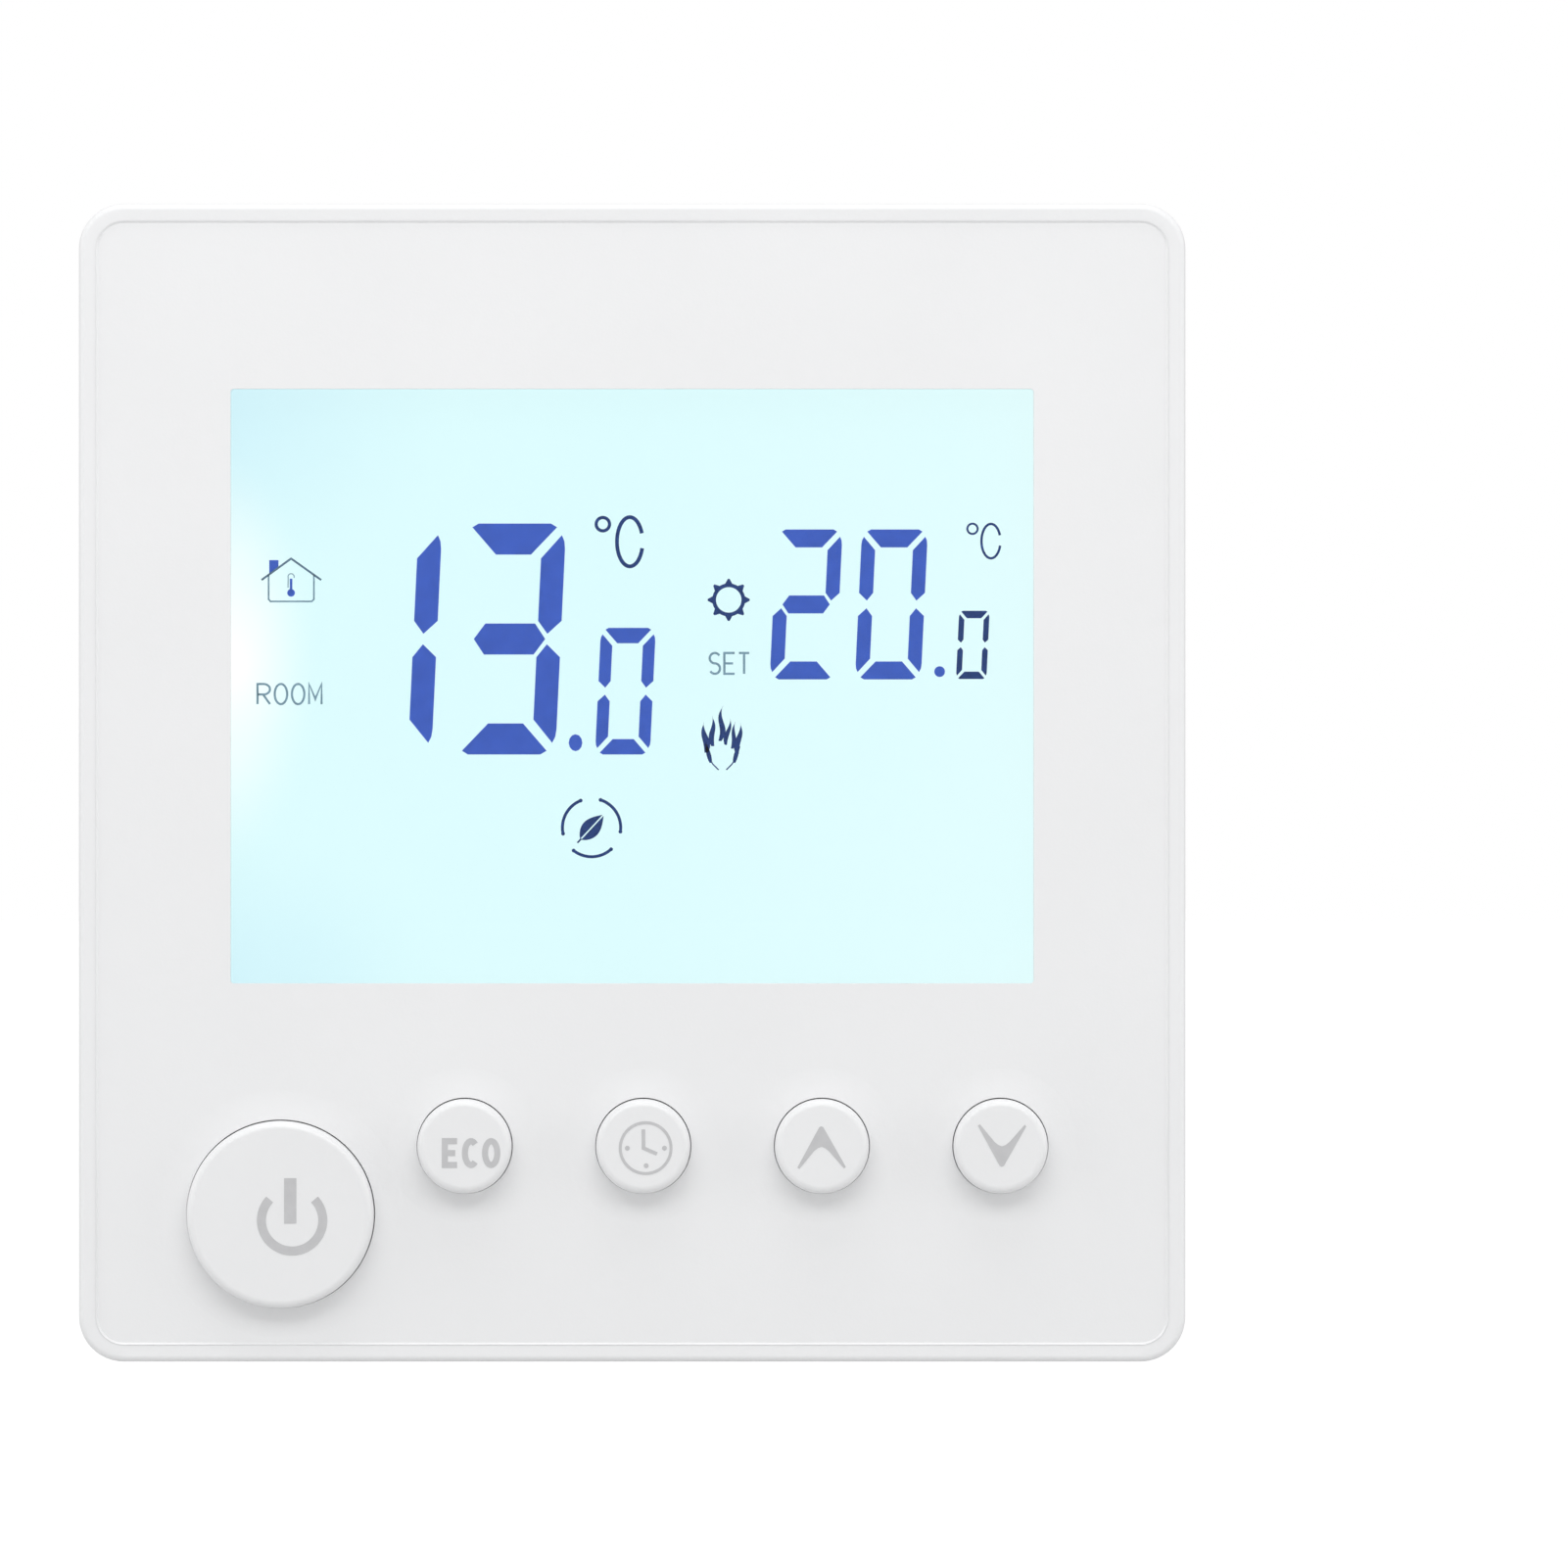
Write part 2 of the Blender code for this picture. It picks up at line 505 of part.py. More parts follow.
def make_front_cover():
    """The moulded shell: rim, sunk face, window, button holes, collars and bosses."""
    half_x = COVER_WIDTH / 2
    half_z = COVER_HEIGHT / 2
    edge_middle = FILLET_MIDDLE_SHARE * COVER_EDGE_FILLET
    profile = [(0.0, COVER_BACK_Y), (0.0, RIM_Y + COVER_EDGE_FILLET),
               (edge_middle, RIM_Y + edge_middle), (COVER_EDGE_FILLET, RIM_Y),
               (RIM_WIDTH, RIM_Y), (RIM_WIDTH + RIM_STEP / 2, FACE_Y)]
    form = bmesh.new()
    add_loft(form, [rounded_ring(half_x - inset, half_z - inset, COVER_CORNER_RADIUS - inset, y,
                                 COVER_CORNER_STEPS)
                    for inset, y in profile])
    cover = make_object("front_cover", form, "white_abs")

    cavity = bmesh.new()
    cavity_radius = COVER_CORNER_RADIUS - COVER_WALL
    add_rounded_plate(cavity, CAVITY_HALF_X, CAVITY_HALF_Z, cavity_radius,
                      (FACE_BACK_Y, COVER_BACK_Y + OVERLAP))
    cut(cover, cavity)

    supports = bmesh.new()
    for place in BOARD_SCREWS:
        add_turned(supports, place, [(BOSS_RADIUS, FACE_BACK_Y - OVERLAP),
                                     (BOSS_RADIUS, BOARD_FRONT_Y - REST_GAP)], SCREW_STEPS)
    for _, place, radius, turned_steps in BUTTONS:
        collar_radius = radius + CAP_FLANGE + COLLAR_GAP + COLLAR_WALL
        add_turned(supports, place, [(collar_radius, FACE_BACK_Y - OVERLAP),
                                     (collar_radius, FACE_BACK_Y + COLLAR_HEIGHT)], turned_steps)
    join(cover, supports)

    holes = bmesh.new()
    add_box(holes, (-WINDOW_WIDTH / 2, WINDOW_WIDTH / 2), (RIM_Y - OVERLAP, FACE_BACK_Y + OVERLAP),
            (WINDOW_RISE - WINDOW_HEIGHT / 2, WINDOW_RISE + WINDOW_HEIGHT / 2))
    for place in BOARD_SCREWS:
        add_turned(holes, place, [(BOSS_BORE_RADIUS, FACE_BACK_Y + REST_GAP),
                                  (BOSS_BORE_RADIUS, BOARD_FRONT_Y + OVERLAP)], BORE_STEPS)
    for _, place, radius, turned_steps in BUTTONS:
        guide_radius = radius + CAP_FLANGE + COLLAR_GAP
        add_turned(holes, place, [(radius + BUTTON_GAP, RIM_Y - OVERLAP),
                                  (radius + BUTTON_GAP, FACE_BACK_Y),
                                  (guide_radius, FACE_BACK_Y),
                                  (guide_radius, FACE_BACK_Y + COLLAR_HEIGHT + OVERLAP)],
                   turned_steps)
    vent_y = (COVER_BACK_Y - OVERLAP - VENT_LENGTH, COVER_BACK_Y - OVERLAP)
    for index in range(VENT_COUNT):
        middle = (index - (VENT_COUNT - 1) / 2) * VENT_PITCH
        span = (middle - VENT_WIDTH / 2, middle + VENT_WIDTH / 2)
        add_box(holes, span, vent_y, (half_z - COVER_WALL - OVERLAP / 2, half_z + OVERLAP))
        add_box(holes, span, vent_y, (-half_z - OVERLAP, -half_z + COVER_WALL + OVERLAP / 2))
    for side in (-1, 1):
        middle = side * PRY_NOTCH_OFFSET
        add_box(holes, (middle - PRY_NOTCH_WIDTH / 2, middle + PRY_NOTCH_WIDTH / 2),
                (COVER_BACK_Y - PRY_NOTCH_DEPTH, COVER_BACK_Y + OVERLAP),
                (-half_z - OVERLAP, -half_z + COVER_WALL + OVERLAP / 2))
    cut(cover, holes)
    return finish(cover)


def make_display():
    """The window pane, glass, light guide, lamp, contact strip and the frame round them."""
    form = bmesh.new()
    half_x = WINDOW_WIDTH / 2
    half_z = WINDOW_HEIGHT / 2
    centre = (0.0, WINDOW_RISE)
    profile = [(-PANE_GAP, PANE_FRONT_Y), (-PANE_GAP, PANE_LIP_Y), (PANE_LIP, PANE_LIP_Y),
               (PANE_LIP, PANE_BACK_Y)]
    add_loft(form, [rounded_ring(half_x + grow, half_z + grow, PANE_CORNER_RADIUS, y,
                                 PANE_CORNER_STEPS, centre)
                    for grow, y in profile])
    finish(make_object("display_window", form, "clear_acrylic"))

    form = bmesh.new()
    add_box(form, (-GLASS_HALF_X, GLASS_HALF_X), (GLASS_FRONT_Y, GLASS_BACK_Y),
            (GLASS_BOTTOM_Z, GLASS_TOP_Z))
    finish(make_object("lcd_glass", form, "lcd_glass"))

    form = bmesh.new()
    add_box(form, (-GUIDE_HALF_X, GUIDE_HALF_X), (GUIDE_FRONT_Y, GUIDE_BACK_Y),
            (GUIDE_BOTTOM_Z, GUIDE_TOP_Z))
    finish(make_object("light_guide", form, "light_guide"))

    led_right = -GUIDE_HALF_X - REST_GAP
    form = bmesh.new()
    add_box(form, (led_right - LED_WIDTH, led_right), (GUIDE_BACK_Y - LED_THICKNESS, GUIDE_BACK_Y),
            (LED_RISE - LED_LENGTH / 2, LED_RISE + LED_LENGTH / 2))
    finish(make_object("backlight_led", form, "led_white"))

    form = bmesh.new()
    strip_bottom = GLASS_BOTTOM_Z + REST_GAP
    add_box(form, (-ZEBRA_LENGTH / 2, ZEBRA_LENGTH / 2), (GUIDE_FRONT_Y, GUIDE_BACK_Y),
            (strip_bottom, strip_bottom + ZEBRA_HEIGHT))
    finish(make_object("zebra_strip", form, "rubber_grey"))

    outer_x = GLASS_HALF_X + REST_GAP + HOLDER_SIDE
    form = bmesh.new()
    add_box(form, (-outer_x, outer_x), (GLASS_FRONT_Y, GUIDE_BACK_Y),
            (GLASS_BOTTOM_Z - REST_GAP - HOLDER_WALL, GLASS_TOP_Z + REST_GAP + HOLDER_WALL))
    holder = make_object("lcd_holder", form, "holder_white")
    opening = bmesh.new()
    add_box(opening, (-GLASS_HALF_X - REST_GAP, GLASS_HALF_X + REST_GAP),
            (GLASS_FRONT_Y - OVERLAP, GUIDE_BACK_Y + OVERLAP),
            (GLASS_BOTTOM_Z - REST_GAP, GLASS_TOP_Z + REST_GAP))
    cut(holder, opening)
    pocket = bmesh.new()
    add_box(pocket, (led_right - LED_WIDTH - REST_GAP, -GUIDE_HALF_X),
            (GUIDE_BACK_Y - LED_THICKNESS - REST_GAP, GUIDE_BACK_Y + OVERLAP),
            (LED_RISE - LED_LENGTH / 2 - REST_GAP, LED_RISE + LED_LENGTH / 2 + REST_GAP))
    cut(holder, pocket)
    finish(holder)


def screw_profile(head_radius, head_height, shank_radius, length, tip, seat_y, direction):
    """Return a pan-head screw's (radius, y) pairs from head to tip."""
    crown = HEAD_CROWN_SHARE * head_height
    return [(HEAD_TOP_SHARE * head_radius, seat_y - direction * head_height),
            (head_radius, seat_y - direction * (head_height - crown)),
            (head_radius, seat_y), (shank_radius, seat_y),
            (shank_radius, seat_y + direction * (length - tip)),
            (shank_radius - tip, seat_y + direction * length)]


def make_screw(name, material, place, profile, slot_width, slot_depth, parent=None):
    """Make a screw along Y with a straight driver slot in its head."""
    form = bmesh.new()
    add_turned(form, place, profile, SCREW_STEPS)
    screw = make_object(name, form, material, (place[0], profile[2][1], place[1]), parent)
    top = profile[0][1]
    reach = profile[1][0] + OVERLAP
    inward = 1 if profile[2][1] > top else -1
    slot = bmesh.new()
    add_box(slot, (place[0] - reach, place[0] + reach),
            sorted((top - inward * OVERLAP, top + inward * slot_depth)),
            (place[1] - slot_width / 2, place[1] + slot_width / 2))
    cut(screw, slot)
    return finish(screw)


def make_main_board():
    """The front unit's board with its chip, cell, sensor, plug pins and screws."""
    form = bmesh.new()
    add_rounded_plate(form, BOARD_HALF_X, BOARD_HALF_Z, BOARD_CORNER_RADIUS,
                      (BOARD_FRONT_Y, BOARD_BACK_Y))
    board = make_object("main_board", form, "board_green")
    holes = bmesh.new()
    for place in BOARD_SCREWS:
        add_turned(holes, place, [(BOSS_BORE_RADIUS, BOARD_FRONT_Y - OVERLAP),
                                  (BOSS_BORE_RADIUS, BOARD_BACK_Y + OVERLAP)], BORE_STEPS)
    cut(board, holes)
    finish(board)

    head_seat_y = BOARD_BACK_Y + REST_GAP
    profile = screw_profile(SMALL_HEAD_RADIUS, SMALL_HEAD_HEIGHT, BOARD_SCREW_RADIUS,
                            BOARD_SCREW_LENGTH, BOARD_SCREW_RADIUS / 2, head_seat_y, -1)
    for index, place in enumerate(BOARD_SCREWS):
        make_screw(f"board_screw_{index + 1}", "steel", place, profile, SMALL_DRIVER_SLOT,
                   SMALL_DRIVER_SLOT)

    mcu_size = (MCU_SIZE, MCU_THICKNESS, MCU_SIZE)
    box_piece("mcu_chip", "epoxy_black", MCU_PLACE, mcu_size, BOARD_BACK_Y + REST_GAP)

    sensor_z = -BOARD_HALF_Z + SENSOR_RADIUS + BOARD_EDGE_GAP
    sensor_y = BOARD_FRONT_Y - REST_GAP
    lead_y = sensor_y - SENSOR_LEAD_LENGTH
    taper_y = sensor_y - SENSOR_LENGTH + SENSOR_RADIUS - SENSOR_TIP_RADIUS
    turned_piece("ntc_sensor", "epoxy_black", (SENSOR_PLACE_X, sensor_z),
                 [(SENSOR_LEAD_RADIUS, sensor_y), (SENSOR_LEAD_RADIUS, lead_y),
                  (SENSOR_RADIUS, lead_y - SENSOR_TAPER), (SENSOR_RADIUS, taper_y),
                  (SENSOR_TIP_RADIUS, sensor_y - SENSOR_LENGTH)], SENSOR_STEPS)

    holder_half = BATTERY_RADIUS + REST_GAP + BATTERY_HOLDER_WALL
    holder_y = BOARD_BACK_Y + REST_GAP
    cell_y = holder_y + BATTERY_HOLDER_FLOOR + REST_GAP
    holder_back_y = cell_y + BATTERY_THICKNESS + REST_GAP
    form = bmesh.new()
    add_rounded_plate(form, holder_half, holder_half, BATTERY_HOLDER_CORNER_RADIUS,
                      (holder_y, holder_back_y), BATTERY_PLACE)
    holder = make_object("battery_holder", form, "black_plastic")
    pocket = bmesh.new()
    add_turned(pocket, BATTERY_PLACE, [(BATTERY_RADIUS + REST_GAP, cell_y - REST_GAP),
                                       (BATTERY_RADIUS + REST_GAP, holder_back_y + OVERLAP)],
               BATTERY_STEPS)
    cut(holder, pocket)
    finish(holder)
    turned_piece("clock_battery", "steel", BATTERY_PLACE,
                 [(BATTERY_RADIUS, cell_y),
                  (BATTERY_RADIUS, cell_y + BATTERY_THICKNESS - BATTERY_RIM_DEPTH),
                  (BATTERY_RADIUS - BATTERY_RIM_INSET, cell_y + BATTERY_THICKNESS)], BATTERY_STEPS)

    strip_y = BOARD_BACK_Y + REST_GAP
    half_strip = HEADER_STRIP_DEPTH / 2
    form = bmesh.new()
    add_box(form, (-HEADER_HALF_X, HEADER_HALF_X), (strip_y, strip_y + HEADER_STRIP_HEIGHT),
            (HEADER_Z - half_strip, HEADER_Z + half_strip))
    header = make_object("header_pins", form, "black_plastic")
    pins = bmesh.new()
    half_pin = HEADER_PIN_SIZE / 2
    pin_tip = strip_y + HEADER_STRIP_HEIGHT + HEADER_PIN_REACH
    for x in HEADER_XS:
        add_box(pins, (x - half_pin, x + half_pin), (strip_y + OVERLAP, pin_tip),
                (HEADER_Z - half_pin, HEADER_Z + half_pin))
    join(header, pins)
    finish(header)


def make_button(name, place, radius, turned_steps, front_unit):
    """A cap with its retaining flange, its push switch and the switch's plunger."""
    carrier = make_empty(f"{name}_button_axis", (place[0], FACE_Y, place[1]), front_unit)
    front_y = FACE_Y - BUTTON_PROUD
    fillet = [(radius - CAP_FILLET * (1 - math.cos(math.radians(angle))),
               front_y + CAP_FILLET * (1 - math.sin(math.radians(angle))))
              for angle in CAP_FILLET_ANGLES]
    profile = [(CAP_STEM_RADIUS, PLUNGER_FRONT_Y - REST_GAP),
               (CAP_STEM_RADIUS, CAP_FLANGE_FRONT_Y + CAP_FLANGE_THICKNESS),
               (radius + CAP_FLANGE, CAP_FLANGE_FRONT_Y + CAP_FLANGE_THICKNESS),
               (radius + CAP_FLANGE, CAP_FLANGE_FRONT_Y), (radius, CAP_FLANGE_FRONT_Y)] + fillet
    form = bmesh.new()
    add_turned(form, place, profile, turned_steps)
    cap = make_object(f"{name}_button", form, "white_cap")
    finish(cap)
    place_on(cap, carrier)

    form = bmesh.new()
    add_turned(form, place, [(PLUNGER_RADIUS, PLUNGER_FRONT_Y), (PLUNGER_RADIUS, PLUNGER_BACK_Y)],
               SCREW_STEPS)
    plunger = make_object(f"{name}_switch_plunger", form, "switch_black")
    finish(plunger)
    place_on(plunger, carrier)

    half = SWITCH_SIZE / 2
    form = bmesh.new()
    add_box(form, (place[0] - half, place[0] + half), (SWITCH_FRONT_Y, SWITCH_BACK_Y),
            (place[1] - half, place[1] + half))
    body = make_object(f"{name}_switch_body", form, "black_plastic")
    pocket = bmesh.new()
    pocket_floor = PLUNGER_BACK_Y + BUTTON_TRAVEL + REST_GAP
    add_turned(pocket, place, [(PLUNGER_RADIUS + REST_GAP, SWITCH_FRONT_Y - OVERLAP),
                               (PLUNGER_RADIUS + REST_GAP, pocket_floor)], SCREW_STEPS)
    cut(body, pocket)
    finish(body)


def place_on(item, carrier):
    """Parent an object to an empty and leave it where it is."""
    bpy.context.view_layer.update()
    item.parent = carrier
    item.matrix_parent_inverse = carrier.matrix_world.inverted()


def make_rear_housing():
    """The flange with the box behind it, open at the front, with a bay for the terminals."""
    form = bmesh.new()
    add_rounded_plate(form, FLANGE_HALF_X, FLANGE_HALF_Z, FLANGE_CORNER_RADIUS,
                      (FLANGE_FRONT_Y, 0.0))
    housing = make_object("rear_housing", form, "housing_grey")

    box = bmesh.new()
    add_side_profile(box, (-BOX_HALF_X, BOX_HALF_X), [
        (FLANGE_FRONT_Y / 2, -BOX_HALF_Z), (TERMINAL_BAY_FLOOR, -BOX_HALF_Z),
        (TERMINAL_BAY_FLOOR, BAY_TOP_Z), (BOX_DEPTH, BAY_TOP_Z), (BOX_DEPTH, BOX_HALF_Z),
        (FLANGE_FRONT_Y / 2, BOX_HALF_Z)])
    join(housing, box)

    inside = bmesh.new()
    front = FLANGE_FRONT_Y - OVERLAP
    add_side_profile(inside, (-INSIDE_HALF_X, INSIDE_HALF_X), [
        (front, -INSIDE_HALF_Z), (BAY_FLOOR_INSIDE, -INSIDE_HALF_Z),
        (BAY_FLOOR_INSIDE, BAY_TOP_Z + BOX_WALL), (BOX_DEPTH - BOX_WALL, BAY_TOP_Z + BOX_WALL),
        (BOX_DEPTH - BOX_WALL, INSIDE_HALF_Z), (front, INSIDE_HALF_Z)])
    cut(housing, inside)

    supports = bmesh.new()
    post_y = INNER_COVER_THICKNESS + REST_GAP
    post_ends = (BOX_DEPTH - BOX_WALL / 2, TERMINAL_BAY_FLOOR - BOX_WALL / 2)
    for place, end in zip(POSTS, post_ends):
        add_turned(supports, place, [(POST_RADIUS, post_y), (POST_RADIUS, end)], SCREW_STEPS)
    ledge_z = (LOWER_ROW_BOTTOM, UPPER_ROW_TOP)
    for side in (-1, 1):
        span = sorted((side * (INSIDE_HALF_X - LEDGE_WIDTH), side * (INSIDE_HALF_X + BOX_WALL / 2)))
        add_box(supports, span, (PART_Y, PART_Y + LEDGE_THICKNESS), ledge_z)
        for end in (-1, 1):
            tab_z = sorted((end * (FLANGE_HALF_Z - TAB_THICKNESS), end * FLANGE_HALF_Z))
            middle = side * TAB_OFFSET
            add_box(supports, (middle - TAB_WIDTH / 2, middle + TAB_WIDTH / 2),
                    (BOARD_BACK_Y + REST_GAP, FLANGE_FRONT_Y / 2), tab_z)
    join(housing, supports)

    holes = bmesh.new()
    for place in POSTS:
        add_turned(holes, place, [(BOSS_BORE_RADIUS, post_y - OVERLAP),
                                  (BOSS_BORE_RADIUS, TERMINAL_BAY_FLOOR - 2 * BOX_WALL)],
                   BORE_STEPS)
    for index in range(BOX_VENT_COUNT):
        middle = (index - (BOX_VENT_COUNT - 1) / 2) * BOX_VENT_PITCH + BOX_VENT_PITCH
        vent_y = PART_Y + LEDGE_THICKNESS + OVERLAP
        vent_z = (middle - BOX_VENT_WIDTH / 2, middle + BOX_VENT_WIDTH / 2)
        for side in (-1, 1):
            span = sorted((side * (INSIDE_HALF_X - OVERLAP), side * (BOX_HALF_X + OVERLAP)))
            add_box(holes, span, (vent_y, vent_y + BOX_VENT_LENGTH), vent_z)
    label_z = (BAY_TOP_Z + BOX_HALF_Z) / 2
    add_box(holes, (-LABEL_WIDTH / 2 - REST_GAP, LABEL_WIDTH / 2 + REST_GAP),
            (BOX_DEPTH - LABEL_THICKNESS - REST_GAP, BOX_DEPTH + OVERLAP),
            (label_z - LABEL_HEIGHT / 2 - REST_GAP, label_z + LABEL_HEIGHT / 2 + REST_GAP))
    cut(housing, holes)

    slots = bmesh.new()
    pockets = bmesh.new()
    for side in (-1, 1):
        slot_ends = (side * MOUNT_SLOT_INNER / 2, side * MOUNT_SLOT_OUTER / 2)
        add_slot(slots, slot_ends, MOUNT_SLOT_WIDTH, (FLANGE_FRONT_Y - OVERLAP, OVERLAP))
        add_slot(pockets, (side * INSIDE_HALF_X, side * MOUNT_SLOT_OUTER / 2),
                 MOUNT_POCKET_WIDTH, (FLANGE_FRONT_Y - OVERLAP, -MOUNT_PAD_THICKNESS))
    cut(housing, slots)
    cut(housing, pockets)
    finish(housing)

    form = bmesh.new()
    add_rounded_plate(form, LABEL_WIDTH / 2, LABEL_HEIGHT / 2, LABEL_CORNER_RADIUS,
                      (BOX_DEPTH - LABEL_THICKNESS, BOX_DEPTH), (0.0, label_z))
    finish(make_object("rating_label", form, "label_silver"))


def make_mounting_screws():
    """The two screws that pull the flange onto the wall box."""
    profile = screw_profile(MOUNT_HEAD_RADIUS, MOUNT_HEAD_HEIGHT, MOUNT_SCREW_RADIUS,
                            MOUNT_SCREW_LENGTH, MOUNT_SCREW_TIP, -MOUNT_PAD_THICKNESS - REST_GAP, 1)
    for name, side in (("left", -1), ("right", 1)):
        make_screw(f"mounting_screw_{name}", "zinc_yellow", (side * MOUNT_PITCH / 2, 0.0), profile,
                   MOUNT_DRIVER_SLOT_WIDTH, MOUNT_DRIVER_SLOT_DEPTH)


def make_power_board():
    """The mains board in the box with its parts, its socket and the cover over it."""
    half_x = INSIDE_HALF_X - REST_GAP
    half_z = INSIDE_HALF_Z - REST_GAP
    form = bmesh.new()
    add_box(form, (-half_x, half_x), (POWER_BOARD_FRONT, POWER_BOARD_BACK), (-half_z, half_z))
    board = make_object("power_board", form, "board_green")
    notches = bmesh.new()
    for x, z in POSTS:
        reach = POST_RADIUS + REST_GAP
        side_x = math.copysign(1.0, x)
        side_z = math.copysign(1.0, z)
        add_box(notches, sorted((x - side_x * reach, side_x * (half_x + OVERLAP))),
                (POWER_BOARD_FRONT - OVERLAP, POWER_BOARD_BACK + OVERLAP),
                sorted((z - side_z * reach, side_z * (half_z + OVERLAP))))
    cut(board, notches)
    finish(board)

    box_piece("relay", "relay_blue", RELAY_PLACE, RELAY_SIZE, PART_Y)
    box_piece("film_capacitor", "film_yellow", FILM_CAPACITOR_PLACE, FILM_CAPACITOR_SIZE, PART_Y)

    form = bmesh.new()
    x, z = TRANSFORMER_PLACE
    width, depth, height = TRANSFORMER_CORE
    add_box(form, (x - width / 2, x + width / 2), (PART_Y, PART_Y + depth),
            (z - height / 2, z + height / 2))
    transformer = make_object("transformer", form, "ferrite")
    coil = bmesh.new()
    width, depth, height = TRANSFORMER_COIL
    add_box(coil, (x - width / 2, x + width / 2), (PART_Y + OVERLAP, PART_Y + depth),
            (z - height / 2, z + height / 2))
    join(transformer, coil)
    finish(transformer)

    radius = FILTER_CAPACITOR_RADIUS
    waist = radius - CAPACITOR_GROOVE
    groove_y = PART_Y + CAPACITOR_GROOVE_PLACE
    end_y = PART_Y + FILTER_CAPACITOR_LENGTH
    turned_piece("filter_capacitor", "capacitor_dark", FILTER_CAPACITOR_PLACE,
                 [(radius, PART_Y), (radius, groove_y - CAPACITOR_GROOVE), (waist, groove_y),
                  (radius, groove_y + CAPACITOR_GROOVE), (radius, end_y - CAPACITOR_GROOVE),
                  (waist, end_y)], TURNED_STEPS)
    turned_piece("fuse", "epoxy_black", FUSE_PLACE,
                 [(FUSE_RADIUS, PART_Y), (FUSE_RADIUS, PART_Y + FUSE_LENGTH - FUSE_CHAMFER),
                  (FUSE_RADIUS - FUSE_CHAMFER, PART_Y + FUSE_LENGTH)], TURNED_STEPS)

    form = bmesh.new()
    centre_y = PART_Y + VARISTOR_RADIUS + OVERLAP
    x, z = VARISTOR_PLACE
    turn = 2 * math.pi / TURNED_STEPS
    half = VARISTOR_THICKNESS / 2
    slices = [(VARISTOR_RADIUS - VARISTOR_CHAMFER, -half), (VARISTOR_RADIUS, VARISTOR_CHAMFER - half),
              (VARISTOR_RADIUS, half - VARISTOR_CHAMFER), (VARISTOR_RADIUS - VARISTOR_CHAMFER, half)]
    add_loft(form, [[(x + radius * math.cos(turn * step), centre_y + radius * math.sin(turn * step),
                      z + offset) for step in range(TURNED_STEPS)] for radius, offset in slices])
    finish(make_object("varistor", form, "varistor_blue"))

    strip_back_y = BOARD_BACK_Y + REST_GAP + HEADER_STRIP_HEIGHT
    socket_front = strip_back_y + REST_GAP
    half_depth = SOCKET_DEPTH / 2
    form = bmesh.new()
    add_box(form, (-HEADER_HALF_X, HEADER_HALF_X), (socket_front, POWER_BOARD_FRONT - REST_GAP),
            (HEADER_Z - half_depth, HEADER_Z + half_depth))
    socket = make_object("header_socket", form, "black_plastic")
    holes = bmesh.new()
    for x in HEADER_XS:
        add_box(holes, (x - SOCKET_HOLE / 2, x + SOCKET_HOLE / 2),
                (socket_front - OVERLAP, strip_back_y + HEADER_PIN_REACH + REST_GAP),
                (HEADER_Z - SOCKET_HOLE / 2, HEADER_Z + SOCKET_HOLE / 2))
    cut(socket, holes)
    finish(socket)

    form = bmesh.new()
    add_box(form, (-half_x, half_x), (0.0, INNER_COVER_THICKNESS), (-half_z, half_z))
    lid = make_object("inner_cover", form, "housing_grey")
    holes = bmesh.new()
    add_box(holes, (-HEADER_HALF_X - REST_GAP, HEADER_HALF_X + REST_GAP),
            (-OVERLAP, INNER_COVER_THICKNESS + OVERLAP),
            (HEADER_Z - half_depth - REST_GAP, HEADER_Z + half_depth + REST_GAP))
    for place in POSTS:
        add_turned(holes, place, [(BOSS_BORE_RADIUS, -OVERLAP),
                                  (BOSS_BORE_RADIUS, INNER_COVER_THICKNESS + OVERLAP)],
                   BORE_STEPS)
    cut(lid, holes)
    finish(lid)
    profile = screw_profile(SMALL_HEAD_RADIUS, SMALL_HEAD_HEIGHT, BOARD_SCREW_RADIUS,
                            BOARD_SCREW_LENGTH, BOARD_SCREW_RADIUS / 2, -REST_GAP, 1)
    for name, place in zip(("left", "right"), POSTS):
        make_screw(f"inner_cover_screw_{name}", "steel", place, profile, SMALL_DRIVER_SLOT,
                   SMALL_DRIVER_SLOT)


